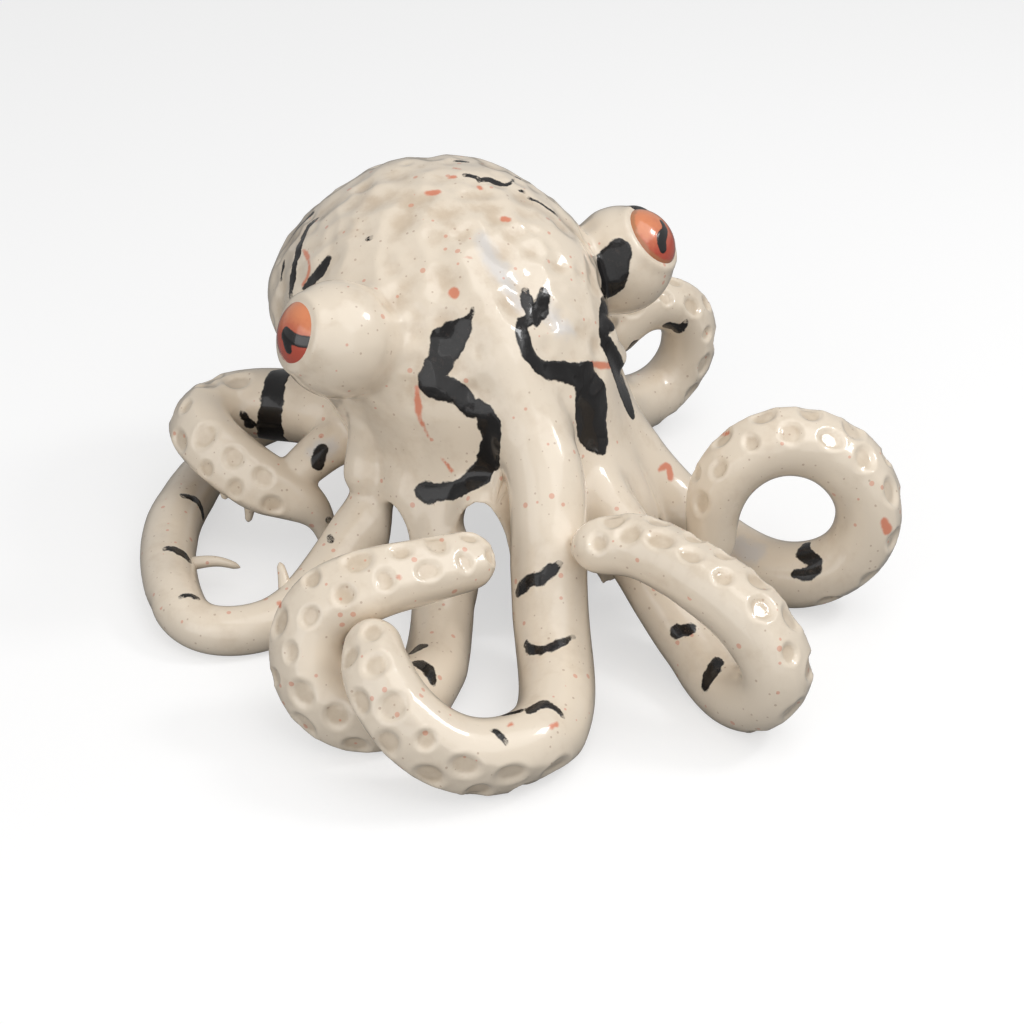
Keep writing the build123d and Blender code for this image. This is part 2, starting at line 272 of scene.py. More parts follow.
# Black brush strokes as pixels of the photograph: place and half width at each point
ink_pixels = [
    [
        (473, 308, 1), (468, 320, 4), (449, 340, 17), (440, 362, 12), (431, 383, 14), (453, 391, 11),
        (471, 409, 10),
    ],
    [
        (478, 404, 5), (487, 418, 11), (492, 438, 12), (487, 465, 12), (471, 483, 11), (450, 491, 9),
        (426, 492, 11),
    ],
    [(525, 291, 3), (528, 304, 6), (534, 320, 6)],
    [(543, 292, 4), (542, 306, 7), (534, 320, 6)],
    [
        (534, 318, 6), (523, 325, 6), (528, 350, 8), (541, 368, 8), (556, 371, 10), (574, 374, 12),
        (588, 378, 16),
    ],
    [(586, 382, 17), (592, 396, 25), (592, 420, 25), (598, 438, 16)],
    [(618, 251, 12), (611, 268, 18), (605, 286, 18), (607, 303, 19), (607, 318, 14), (603, 331, 6)],
    [(606, 342, 7), (615, 366, 12), (624, 391, 14), (630, 409, 9)],
    [(279, 374, 11), (272, 404, 13), (272, 438, 15)],
    [(243, 414, 3), (250, 424, 5)],
    [(322, 450, 6), (318, 464, 7)],
    [(184, 496, 3), (198, 502, 4), (203, 516, 4)],
    [(166, 548, 3), (180, 552, 5), (189, 560, 3)],
    [(181, 597, 2), (190, 595, 3), (198, 599, 3)],
    [(236, 607, 2), (246, 603, 3)],
    [(329, 520, 3), (331, 540, 3)],
    [(518, 591, 4), (526, 584, 6), (540, 578, 6), (552, 569, 5), (560, 563, 2)],
    [(526, 645, 4), (536, 650, 5), (546, 649, 5), (556, 645, 5), (573, 637, 2)],
    [(508, 714, 5), (520, 711, 4)],
    [(530, 711, 5), (541, 705, 6), (553, 707, 5), (563, 717, 1)],
    [(492, 731, 2), (500, 735, 4), (506, 742, 2)],
    [(412, 652, 4), (420, 647, 6)],
    [(417, 663, 5), (427, 669, 7), (432, 681, 4)],
    [(676, 632, 6), (688, 630, 7)],
    [(717, 662, 6), (710, 676, 8), (706, 686, 5)],
    [(806, 545, 4), (806, 556, 7), (816, 562, 6), (812, 572, 6), (796, 574, 4)],
    [(668, 325, 5), (680, 328, 5), (686, 322, 2)],
    [(327, 261, 4), (318, 274, 7), (308, 286, 7)],
    [(316, 220, 3), (306, 232, 4), (298, 256, 4), (292, 280, 4), (291, 296, 3)],
    [(313, 213, 3), (298, 228, 4), (290, 240, 2)],
    [(284, 262, 2), (281, 280, 1)],
    [(276, 256, 3), (270, 290, 3)],
    [(455, 161, 2), (467, 162, 2)],
    [(466, 175, 3), (478, 178, 3)],
    [(480, 180, 3), (494, 182, 4), (506, 185, 2), (512, 181, 1), (518, 178, 2)],
    [(518, 190, 1), (523, 192, 2)],
    [(529, 198, 1), (543, 205, 1), (557, 216, 1)],
    [(367, 239, 1), (371, 238, 2)],
]

# Pupils, in the same way
pupil_pixels = {
    "left": [
        [(286, 335, 8), (296, 340, 6), (307, 342, 6)],
        [(287, 340, 7), (288, 349, 5)],
    ],
    "right": [
        [(662, 222, 3), (665, 230, 4), (662, 238, 6), (663, 248, 5)],
    ],
}

# Coral brush flecks, in the same way
coral_pixels = [
    [(454, 292, 6), (455, 294, 6)],
    [(417, 388, 3), (418, 404, 4), (423, 426, 2), (431, 441, 1)],
    [(440, 456, 1), (452, 471, 2)],
    [(590, 363, 2), (600, 366, 4), (613, 364, 3)],
    [(884, 521, 4), (888, 530, 5)],
    [(660, 470, 3), (668, 466, 4), (670, 478, 4)],
    [(427, 193, 3), (438, 192, 4)],
    [(449, 178, 2), (454, 177, 3)],
    [(504, 219, 4), (507, 220, 4)],
    [(479, 187, 3), (480, 188, 3)],
    [(455, 168, 2), (460, 169, 2)],
    [(511, 702, 4), (514, 692, 5)],
    [(508, 726, 2), (511, 724, 3)],
    [(551, 727, 2), (557, 724, 2)],
    [(723, 434, 3), (728, 433, 3)],
    [(303, 250, 2), (309, 268, 3), (304, 284, 3)],
    [(399, 577, 2), (400, 578, 2)],
    [(506, 577, 2), (509, 584, 3)],
    [(279, 603, 3), (280, 604, 3)],
    [(486, 522, 2), (490, 532, 3)],
    [(463, 257, 1), (472, 258, 1)],
]

# Pale veils of glaze, in the same way
veil_pixels = [
    [(482, 236, 6), (492, 262, 10), (506, 282, 10), (520, 306, 8)],
    [(545, 308, 5), (560, 326, 6), (574, 332, 3)],
    [(318, 452, 11), (330, 446, 11)],
    [(735, 545, 9), (752, 552, 9)],
]

# Strokes where the photograph does not reach: half width and points, in shares of half the figure
far_ink_shares = [
    (4.0 * mm, [(0.05, 0.80, 0.80), (0.00, 0.86, 0.66), (-0.06, 0.86, 0.52)]),
    (3.0 * mm, [(-0.35, 0.80, 0.90), (-0.42, 0.84, 0.72)]),
    (3.5 * mm, [(0.34, 0.55, 0.95), (0.36, 0.62, 0.78), (0.30, 0.68, 0.62)]),
    (2.5 * mm, [(-0.66, 0.55, 0.75), (-0.68, 0.50, 0.58)]),
    (2.2 * mm, [(-0.40, 0.86, 0.25), (-0.44, 0.80, 0.27)]),
    (2.0 * mm, [(-0.62, 0.98, 0.22), (-0.60, 0.90, 0.25)]),
    (2.4 * mm, [(0.30, 0.76, 0.30), (0.36, 0.74, 0.32)]),
]

body_name = "body"
mound_names = ["left_eye_mound", "right_eye_mound"]
clay_names = [body_name] + mound_names + list(arm_shares)


def length_setting(name, description, default):
    """A length among the settings."""
    return FloatProperty(name=name, description=description, default=default, unit="LENGTH")


def angle_setting(name, description, degrees):
    """An angle among the settings."""
    return FloatProperty(name=name, description=description, default=math.radians(degrees), unit="ROTATION")


def share_setting(name, description, default):
    """A share or strength among the settings."""
    return FloatProperty(name=name, description=description, default=default, subtype="FACTOR")


def colour_setting(name, description, default):
    """A colour among the settings."""
    return FloatVectorProperty(name=name, description=description, default=default, subtype="COLOR")


class FormSettings(bpy.types.PropertyGroup):
    """Sizes of the clay form, the same as the solids have."""

    figure_width: length_setting("Width", "Reach of the arms from side to side", 0.281)
    figure_depth: length_setting("Depth", "Reach of the arms from front to back", 0.285)
    figure_height: length_setting("Height", "Height of the crown", 0.142)
    foot_flat: length_setting("Foot flat", "Clay worn off where an arm rests", 0.0008)
    body_length: length_setting("Body length", "Length of the body the way it faces", 0.148)
    body_breadth: length_setting("Body breadth", "Breadth of the body", 0.116)
    body_wall: length_setting("Body wall", "Thickness of the hollow body's wall", 0.006)
    seam_height: length_setting("Seam height", "Height of the seam of the two shells", 0.066)
    face_heading: angle_setting("Face heading", "Way that the body faces", -52)
    mound_diameter: length_setting("Eye mound diameter", "Diameter of an eye mound", 0.041)
    mound_length: length_setting("Eye mound length", "Length of an eye mound", 0.042)
    eyeball_outset: length_setting("Eyeball outset", "Eyeball from the mound's middle", 0.011)
    eyeball_diameter: length_setting("Eyeball diameter", "Diameter of an eyeball", 0.026)
    eyeball_depth: length_setting("Eyeball depth", "Eyeball the way it looks, pressed flatter", 0.020)
    arm_thickness: length_setting("Arm thickness", "Thickness of a coil of full girth", 0.025)
    spur_length: length_setting("Spur length", "Length of a plain spur", 0.009)
    spur_thickness: length_setting("Spur thickness", "Thickness of a spur at its foot", 0.0044)


class PressSettings(bpy.types.PropertyGroup):
    """How the clay is joined and pressed."""

    grain: length_setting("Grain", "Spacing of the form's points", 0.001)
    web_reach: length_setting("Web reach", "How far from a joint the clay is smoothed", 0.010)
    web_passes: IntProperty(
        name="Web passes", description="Strokes of the sponge over the joints", default=70)
    skin_passes: IntProperty(
        name="Skin passes", description="Strokes of the sponge all over", default=5)
    fold_radius: length_setting("Fold radius", "Radius of the rolls under the skirt's folds", 0.009)
    sucker_diameter: length_setting("Sucker diameter", "Diameter of a sucker on a full arm", 0.0102)
    sucker_depth: length_setting("Sucker depth", "Depth of a pressed sucker", 0.0014)
    sucker_spacing: length_setting("Sucker spacing", "Distance between suckers of one row", 0.0125)
    lid_rise: length_setting("Lid rise", "Height of the lid round an eyeball", 0.0014)
    dent_depth: length_setting("Dent depth", "Depth of a finger's dent on the mantle", 0.0018)
    lump_height: length_setting("Lump height", "Height of a lump in the rolled clay", 0.00035)
    band_share: share_setting("Band", "Share of an arm's radius past which its sucker side is pressed", 0.74)
    band_press: share_setting("Band press", "Share of the clay past it that is pressed away", 0.6)
    cap_depth: length_setting("Cap depth", "How far under the skin a joint's cap runs", 0.004)
    parting: length_setting("Parting", "Height of the joints above the body", 0.0015)


class GlazeSettings(bpy.types.PropertyGroup):
    """Colours of the glazes."""

    ivory: colour_setting("Ivory", "Colour of the glaze where it lies evenly", (0.85, 0.74, 0.60))
    # Beige is also painted into the mantle's dents as shade, besides the cloudy thin patches of glaze
    beige: colour_setting("Beige", "Colour of the glaze where clay shows through", (0.66, 0.53, 0.39))
    # Pooled glaze and painted shade: the hollows of the suckers are painted darker in this colour
    pooled_shade: colour_setting("Pooled", "Colour of the glaze in the hollows", (0.56, 0.43, 0.29))
    rust: colour_setting("Rust", "Colour of the iron specks", (0.30, 0.13, 0.05))
    coral: colour_setting("Coral", "Colour of the coral flecks", (0.72, 0.20, 0.10))
    black: colour_setting("Black", "Colour of the brushed marks", (0.010, 0.009, 0.009))
    dry_black: colour_setting("Dry black", "Colour of the marks of a dry brush", (0.055, 0.040, 0.034))
    lid: colour_setting("Lid", "Colour of the line round an eye", (0.45, 0.20, 0.09))
    veil: colour_setting("Veil", "Colour of the pale veils", (0.60, 0.62, 0.67))
    eye_light: colour_setting("Eye top", "Colour of an eye toward its top", (0.78, 0.27, 0.12))
    eye_dark: colour_setting("Eye foot", "Colour of an eye toward its foot", (0.52, 0.085, 0.05))


class StageSettings(bpy.types.PropertyGroup):
    """Camera, floor and lights."""

    camera_place: FloatVectorProperty(
        name="Camera", description="Where the camera stands", subtype="TRANSLATION",
        default=(-0.0003, -0.6409, 0.399))
    camera_pitch: angle_setting("Pitch", "How far the camera looks down", 30)
    picture_size: IntProperty(
        name="Picture", description="Width of the picture in pixels", subtype="PIXEL", default=1024)
    focal_pixels: FloatProperty(
        name="Focal length", description="Focal length in pixels", subtype="PIXEL", default=2020.0)
    floor: colour_setting("Floor", "Colour of the floor to the camera", (0.45, 0.45, 0.45))
    bounce: colour_setting("Bounce", "Colour of the floor to the light it throws back", (0.22, 0.22, 0.22))
    glow: share_setting("Glow", "How much paler the camera sees the floor", 0.58)
    sky_light: share_setting("Sky light", "Light from all round", 0.36)
    sky_seen: share_setting("Sky seen", "The same, where the camera sees it", 0.90)


def settings(name):
    """One of the groups of settings."""
    return getattr(bpy.context.scene, "octopus_" + name)


def unit(vectors):
    """Vectors scaled to a length of one."""
    vectors = np.asarray(vectors, float)
    return vectors / np.maximum(np.linalg.norm(vectors, axis=-1, keepdims=True), 1e-12)


def smooth_step(values):
    """Values from zero to one, eased at both ends."""
    values = np.clip(values, 0, 1)
    return values * values * (3 - 2 * values)


def smooth_line(rows, count):
    """Even samples of the natural cubic through rows of numbers, and the place of each among the rows."""
    rows = np.array(rows, float)
    marks = np.concatenate([[0], np.cumsum(np.linalg.norm(np.diff(rows[:, :3], axis=0), axis=1))])
    spans = np.diff(marks)
    last = len(rows) - 1
    sums = np.eye(len(rows))
    bends = np.zeros_like(rows)
    for i in range(1, last):
        sums[i, i - 1:i + 2] = spans[i - 1], 2 * (spans[i - 1] + spans[i]), spans[i]
        bends[i] = 6 * ((rows[i + 1] - rows[i]) / spans[i] - (rows[i] - rows[i - 1]) / spans[i - 1])
    bends = np.linalg.solve(sums, bends)
    at = np.linspace(0, marks[-1], count)
    i = np.clip(np.searchsorted(marks, at, "right") - 1, 0, last - 1)
    after = ((at - marks[i]) / spans[i])[:, None]
    before = 1 - after
    ease = (before ** 3 - before) * bends[i] + (after ** 3 - after) * bends[i + 1]
    line = before * rows[i] + after * rows[i + 1] + ease * spans[i][:, None] ** 2 / 6
    return line, i + after[:, 0]


def forward_way():
    """The way that the body faces, and its side."""
    heading = settings("form").face_heading
    ahead = np.array([math.cos(heading), math.sin(heading), 0.0])
    return ahead, np.array([-ahead[1], ahead[0], 0.0])


def reach():
    """How far the middle line of an arm of full girth can reach from the middle of the figure."""
    form = settings("form")
    return np.array([form.figure_width - form.arm_thickness, form.figure_depth - form.arm_thickness]) / 2


def mound_place(side):
    """Middle of an eye mound, before the figure is centred, and the way that it looks."""
    form = settings("form")
    height, ahead_share, aside_share = eye_shares[side]
    ahead, aside = forward_way()
    place = np.array([*(np.array(head_row[1:3]) * reach()), height * form.figure_height])
    place += ahead * ahead_share * form.body_length / 2 + aside * aside_share * form.body_breadth / 2
    return place, aside * math.copysign(1, aside_share)


def gaze_way(side):
    """The way that an eyeball looks."""
    ahead, aside = forward_way()
    forward, sideways, up = gaze_shares[side]
    return unit(ahead * forward + aside * sideways + np.array([0, 0, up]))


def eyeball_place(side):
    """Middle of an eyeball, before the figure is centred."""
    return mound_place(side)[0] + gaze_way(side) * settings("form").eyeball_outset


def centring():
    """How far the solids were moved to stand centred, read from where the left eyeball stands."""
    low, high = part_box("left_eyeball")
    moved = (np.array(low) + np.array(high)) / 2 - eyeball_place("left")
    return np.array([moved[0], moved[1], 0.0])


def pressed_eye(side):
    """Middle of an eyeball once it is pressed into its mound, and the way that it looks."""
    ahead, aside = forward_way()
    forward, sideways, up = eyeball_shifts[side]
    middle = eyeball_place(side) + centring() + ahead * forward + aside * sideways + np.array([0, 0, up])
    return middle, unit(middle - mound_place(side)[0] - centring())


class Coil:
    """A rolled coil of clay: points along its middle line, with their radii and places among the rows."""

    def __init__(self, name, table=arm_shares):
        form = settings("form")
        rows = []
        for across, along, lift, girth in table[name]:
            radius = girth * form.arm_thickness / 2
            flat = np.array([across, along]) * reach()
            rows.append([*flat, radius - form.foot_flat + lift * form.figure_height, radius])
        rows = np.array(rows)
        rows[:, :3] += centring()
        spans = np.linalg.norm(np.diff(rows[:, :3], axis=0), axis=1)
        line, self.at = smooth_line(rows, int(spans.sum() / coil_step))
        self.points = line[:, :3]
        girths = np.interp(self.at, np.arange(len(rows)), rows[:, 3])
        way = unit(self.points[-1] - self.points[-2])
        past = np.array([[share * girths[-1]] for share, _ in tip_shares])
        self.points = np.vstack([self.points, self.points[-1] + past * way])
        self.radii = np.concatenate([girths, [share * girths[-1] for _, share in tip_shares]])
        self.at = np.concatenate([self.at, self.at[-1] + past[:, 0] / spans[-1]])
        self.ways = unit(np.gradient(self.points, axis=0))
        steps = np.linalg.norm(np.diff(self.points, axis=0), axis=1)
        self.run = np.concatenate([[0], np.cumsum(steps)])

    def height(self, places):
        """How far places lie outside the coil, counted no further than a coil's thickness."""
        margin = settings("form").arm_thickness
        heights = np.full(len(places), margin)
        room = margin + self.radii.max()
        low, high = self.points.min(0) - room, self.points.max(0) + room
        inside = np.nonzero(((places > low) & (places < high)).all(1))[0]
        for part in np.array_split(inside, len(inside) // 4000 + 1):
            gaps = np.linalg.norm(places[part][:, None] - self.points[None], axis=2) - self.radii[None]
            heights[part] = np.minimum(gaps.min(1), margin)
        return heights


def body_rings():
    """Rings of the body from the rim to the crown: middle, half length and half breadth."""
    form = settings("form")
    rows = []
    for height, across, along, length, breadth in body_shares:
        flat = np.array([across, along]) * reach() + centring()[:2]
        half = np.array([length * form.body_length, breadth * form.body_breadth]) / 2
        rows.append([height * form.figure_height, half[0], half[1], *flat])
    rings = smooth_line(rows, body_ring_count)[0]
    return {"height": rings[:, 0], "half": rings[:, 1:3], "middle": rings[:, 3:5]}


def body_height(places):
    """How far places lie outside the body's outer wall."""
    rings = body_rings()
    ahead, aside = forward_way()
    level = places[:, 2]
    half = [np.interp(level, rings["height"], rings["half"][:, i]) for i in (0, 1)]
    middle = [np.interp(level, rings["height"], rings["middle"][:, i]) for i in (0, 1)]
    flat = np.stack([places[:, 0] - middle[0], places[:, 1] - middle[1]], 1)
    share = np.hypot(flat @ ahead[:2] / half[0], flat @ aside[:2] / half[1])
    return (share - 1) * np.sqrt(half[0] * half[1])


def mound_height(places, side):
    """How far places lie outside an eye mound."""
    form = settings("form")
    middle, outward = mound_place(side)
    off = places - (middle + centring())
    along = off @ outward
    across = np.linalg.norm(off - along[:, None] * outward, axis=1)
    share = np.hypot(along / (form.mound_length / 2), across / (form.mound_diameter / 2))
    return (share - 1) * form.mound_diameter / 2


def ring_matrix(point, first, second):
    """Matrix that lays a unit circle at a point, with its two half axes."""
    normal = unit(np.cross(first, second))
    matrix = Matrix.Identity(4)
    for i in range(3):
        matrix[i] = (first[i], second[i], normal[i], point[i])
    return matrix


def push(shape, cap, change, inner):
    """Extrudes a cap, moves the new one, and gives it back. A cap inside the shape is taken out."""
    made = bmesh.ops.extrude_face_region(shape, geom=[cap])["geom"]
    verts = [item for item in made if isinstance(item, bmesh.types.BMVert)]
    bmesh.ops.transform(shape, matrix=change, verts=verts)
    if inner:
        bmesh.ops.delete(shape, geom=[cap], context="FACES_ONLY")
    return next(item for item in made if isinstance(item, bmesh.types.BMFace))


def loft(shape, matrices, segments):
    """A closed shape drawn from ring to ring."""
    ring = bmesh.ops.create_circle(shape, cap_ends=True, segments=segments, radius=1, matrix=matrices[0])
    cap = ring["verts"][0].link_faces[0]
    for step, (before, after) in enumerate(zip(matrices, matrices[1:])):
        cap = push(shape, cap, after @ before.inverted(), step > 0)
    bmesh.ops.recalc_face_normals(shape, faces=shape.faces)


def coil_matrices(points, radii):
    """Rings square to a line, turning only as the line does."""
    ways = unit(np.gradient(points, axis=0))
    side = np.cross(ways[0], unit([0.31, 0.87, 0.39]))
    matrices = []
    for point, way, radius in zip(points, ways, radii):
        side = unit(side - way * (side @ way))
        matrices.append(ring_matrix(point, side * radius, np.cross(way, side) * radius))
    return matrices


def body_matrices(inset, drop):
    """Rings of the body, smaller all round by the inset, with the first one lowered by the drop."""
    rings = body_rings()
    ahead, aside = forward_way()
    shrink = 1 - inset / settings("form").figure_height
    matrices = []
    for height, half, middle in zip(rings["height"], rings["half"], rings["middle"]):
        if min(half) > 2 * inset:
            point = np.array([*middle, height * shrink])
            matrices.append(ring_matrix(point, ahead * (half[0] - inset), aside * (half[1] - inset)))
    if drop:
        matrices[0] = Matrix.Translation((0, 0, -drop)) @ matrices[0]
    return matrices


def raise_arches(shape):
    """Lifts the rim into arches between the arms, and draws the underside in to leave them open."""
    form = settings("form")
    rim, blend = body_shares[0][0] * form.figure_height, body_shares[2][0] * form.figure_height
    middle = np.array(body_shares[0][1:3]) * reach() + centring()[:2]
    for vert in shape.verts:
        if vert.co.z < blend:
            flat = np.array([vert.co.x, vert.co.y]) - middle
            far = np.linalg.norm(flat)
            lift = 0.0
            for heading, width, top in arch_shares:
                off = math.atan2(flat[1], flat[0]) - math.radians(heading)
                across = far * math.sin(off) / (width * form.body_breadth / 2)
                if math.cos(off) > 0 and abs(across) < 1:
                    lift = max(lift, math.sqrt(1 - across * across) * (top * form.figure_height - rim))
            vert.co.z += lift * (blend - vert.co.z) / (blend - rim)
    underside = min(shape.faces, key=lambda face: face.calc_center_median().z - len(face.verts))
    bmesh.ops.poke(shape, faces=[underside])["verts"][0].co.z = blend


def new_piece(name, shape):
    """A new object in the scene from a bmesh, which is freed."""
    mesh = bpy.data.meshes.new(name)
    shape.to_mesh(mesh)
    shape.free()
    piece = bpy.data.objects.new(name, mesh)
    bpy.context.scene.collection.objects.link(piece)
    return piece


def settle(piece):
    """Makes what a piece's modifiers give its own mesh."""
    graph = bpy.context.evaluated_depsgraph_get()
    done = bpy.data.meshes.new_from_object(
        piece.evaluated_get(graph), preserve_all_data_layers=True, depsgraph=graph)
    piece.modifiers.clear()
    old = piece.data
    piece.data = done
    bpy.data.meshes.remove(old)


def discard(piece):
    """Removes an object that only helped."""
    mesh = piece.data
    bpy.data.objects.remove(piece)
    bpy.data.meshes.remove(mesh)


def cut_away(piece, tool):
    """Cuts a shape out of a piece."""
    cut = piece.modifiers.new("cut", "BOOLEAN")
    cut.operation = "DIFFERENCE"
    cut.solver = "MANIFOLD"
    cut.object = tool
    settle(piece)


def points_of(mesh):
    """Places and normals of a mesh's points."""
    places = np.empty(len(mesh.vertices) * 3, np.float32)
    normals = np.empty(len(mesh.vertices) * 3, np.float32)
    mesh.vertices.foreach_get("co", places)
    mesh.vertices.foreach_get("normal", normals)
    return places.reshape(-1, 3).astype(float), normals.reshape(-1, 3).astype(float)


def place_points(mesh, places):
    """Moves a mesh's points."""
    mesh.vertices.foreach_set("co", places.astype(np.float32).ravel())
    mesh.update()


def store(mesh, name, values, kind="FLOAT"):
    """Keeps a value for each point of a mesh."""
    layer = mesh.attributes.get(name) or mesh.attributes.new(name, kind, "POINT")
    field = "value" if kind == "FLOAT" else "vector"
    layer.data.foreach_set(field, np.asarray(values, np.float32).ravel())


def sight(pixel):
    """Where the camera stands, and the way from it through a pixel of the photograph."""
    stage = settings("stage")
    middle = stage.picture_size / 2
    across = (pixel[0] - middle) / stage.focal_pixels
    up = (middle - pixel[1]) / stage.focal_pixels
    pitch = stage.camera_pitch
    way = np.array([
        across,
        math.cos(pitch) + up * math.sin(pitch),
        up * math.cos(pitch) - math.sin(pitch),
    ])
    return Vector(stage.camera_place), Vector(unit(way))


def seen(piece, pixels):
    """Points of a piece's surface under pixels of the photograph, with normals and a pixel's size there."""
    found = []
    for pixel in pixels:
        eye, way = sight(pixel)
        hit, place, normal, _ = piece.ray_cast(eye, way)
        if hit:
            size = (place - eye).length / settings("stage").focal_pixels
            found.append((np.array(place), np.array(normal), size))
    return found


def fold_coils(base):
    """Rolls of clay under the skirt's folds: points and radii, laid along the surface of the bare body."""
    radius = settings("press").fold_radius
    for pixels in fold_pixels.values():
        rows = []
        for across, down, rise in pixels:
            for place, normal, _ in seen(base, [(across, down)]):
                rows.append([*(place - normal * (radius - rise * mm)), radius])
        line = smooth_line(rows, fold_ring_count)[0]
        rise = np.linspace(0, 5, fold_ring_count)
        ends = smooth_step(np.minimum(rise, rise[::-1]))
        yield line[:, :3], radius * (0.55 + 0.45 * ends)


def wet_form():
    """The bare clay form: the hollow body with its eye mounds, arms and folds, as one closed skin."""
    form, press = settings("form"), settings("press")
    shape = bmesh.new()
    loft(shape, body_matrices(0, 0), body_segments)
    raise_arches(shape)
    body = new_piece("body", shape)
    shape = bmesh.new()
    loft(shape, body_matrices(form.body_wall, hollow_drop), body_segments)
    hollow = new_piece("hollow", shape)
    shape = bmesh.new()
    loft(shape, body_matrices(form.body_wall - hollow_ease, hollow_drop), body_segments)
    wide_hollow = new_piece("wide_hollow", shape)

    added = []
    for table in (arm_shares, flap_shares):
        for name in table:
            coil = Coil(name, table)
            shape = bmesh.new()
            loft(shape, coil_matrices(coil.points, coil.radii), coil_segments)
            added.append(new_piece(name, shape))
    for side in eye_shares:
        middle, outward = mound_place(side)
        shape = bmesh.new()
        turn = Vector(outward).to_track_quat("Z", "Y").to_matrix().to_4x4()
        half = form.mound_diameter / 2
        size = Matrix.Diagonal((half, half, form.mound_length / 2, 1))
        matrix = Matrix.Translation(Vector(middle + centring())) @ turn @ size
        bmesh.ops.create_uvsphere(shape, u_segments=48, v_segments=32, radius=1, matrix=matrix)
        added.append(new_piece(side, shape))
    bpy.context.view_layer.update()
    for points, radii in fold_coils(body):
        shape = bmesh.new()
        loft(shape, coil_matrices(points, radii), fold_segments)
        added.append(new_piece("fold", shape))
    for piece in added:
        cut_away(piece, wide_hollow)
    cut_away(body, hollow)

    shape = bmesh.new()
    for piece in [body] + added:
        shape.from_mesh(piece.data)
    for piece in [body, hollow, wide_hollow] + added:
        discard(piece)
    clay = new_piece("clay", shape)
    skin = clay.modifiers.new("skin", "REMESH")
    skin.mode = "VOXEL"
    skin.voxel_size = press.grain
    settle(clay)
    return clay


class Finder:
    """Finds the places near a point, by their order from side to side."""

    def __init__(self, places):
        self.places = places
        self.order = np.argsort(places[:, 0])
        self.across = places[self.order, 0]

    def near(self, middle, room):
        """Which places lie within a distance of a point."""
        first, last = np.searchsorted(self.across, [middle[0] - room, middle[0] + room])
        part = self.order[first:last]
        off = np.abs(self.places[part, 1:] - middle[1:])
        part = part[(off < room).all(1)]
        return part[np.linalg.norm(self.places[part] - middle, axis=1) < room]


def claims(places):
    """Height of each place above the body and above each mound and arm, one row for each clay piece."""
    rows = [body_height(places)]
    rows += [mound_height(places, side) for side in eye_shares]
    for name in arm_shares:
        heights = Coil(name).height(places)
        if name in flap_shares:
            heights = np.minimum(heights, Coil(name, flap_shares).height(places))
        rows.append(heights)
    return np.array(rows)


def sponge(clay):
    """Smooths the whole skin a little, and the joints a lot."""
    press = settings("press")
    heights = claims(points_of(clay.data)[0])
    near = smooth_step(1.3 - np.maximum(heights, 0) / press.web_reach)
    two = np.sort(near, axis=0)[-2:]
    weight = two[0] * two[1]
    fillet = np.sort(np.maximum(heights, 0), axis=0)[1]
    fillet = np.maximum(press.web_reach - fillet, 0) ** 2 / (4 * press.web_reach)
    fillet[heights[0] < -press.parting] = 0
    places, normals = points_of(clay.data)
    place_points(clay.data, places + normals * fillet[:, None])
    group = clay.vertex_groups.new(name="web")
    levels = np.round(weight * 20).astype(int)
    for level in range(1, 21):
        group.add(np.nonzero(levels == level)[0].tolist(), level / 20, "REPLACE")
    webs = clay.modifiers.new("webs", "SMOOTH")
    webs.factor = 0.5
    webs.iterations = press.web_passes
    webs.vertex_group = group.name
    skin = clay.modifiers.new("skin", "SMOOTH")
    skin.factor = 0.5
    skin.iterations = press.skin_passes
    settle(clay)
    clay.vertex_groups.clear()


def sucker_spots(name):
    """Suckers of an arm: middle, way out, way along the arm, and half sizes along and across it."""
    form, press = settings("form"), settings("press")
    coil = Coil(name)
    stops = np.array([stop for stop, _ in sucker_ways[name]])
    ways = np.array([way for _, way in sucker_ways[name]])
    spots = []
    run_start, run_end = np.interp([stops[0], stops[-1]], coil.at, coil.run)
    run = run_start
    row = 0
    draw = np.random.default_rng(len(name))
    while run < run_end:
        at = np.interp(run, coil.run, coil.at)
        point = np.array([np.interp(run, coil.run, coil.points[:, i]) for i in range(3)])
        along = unit([np.interp(run, coil.run, coil.ways[:, i]) for i in range(3)])
        radius = np.interp(run, coil.run, coil.radii)
        out = np.array([np.interp(at, stops, ways[:, i]) for i in range(3)])
        out = unit(out - along * (out @ along))
        side = np.cross(along, out)
        girth = radius / (form.arm_thickness / 2)
        turn = (sucker_turn if row % 2 else -sucker_turn) + draw.uniform(-sucker_sway, sucker_sway)
        way = out * math.cos(turn) + side * math.sin(turn)
        wide = press.sucker_diameter / 2 * (0.45 + 0.55 * girth) * draw.uniform(*sucker_size_shares)
        stretch = draw.uniform(*sucker_stretch_shares)
        spots.append((point + way * radius, way, along, (wide * stretch, wide / stretch)))
        run += press.sucker_spacing / 2 * (0.35 + 0.65 * girth) * draw.uniform(*sucker_step_shares)
        row += 1
    return spots


def band_ways(name, coil):
    """Which stops of a coil carry suckers, and the way that they face there."""
    stops = np.array([stop for stop, _ in sucker_ways[name]])
    ways = np.array([way for _, way in sucker_ways[name]])
    out = np.stack([np.interp(coil.at, stops, ways[:, i]) for i in range(3)], 1)
    out = unit(out - coil.ways * (out * coil.ways).sum(1)[:, None])
    return smooth_step(np.minimum(coil.at - stops[0] + 0.6, stops[-1] + 0.8 - coil.at)), out


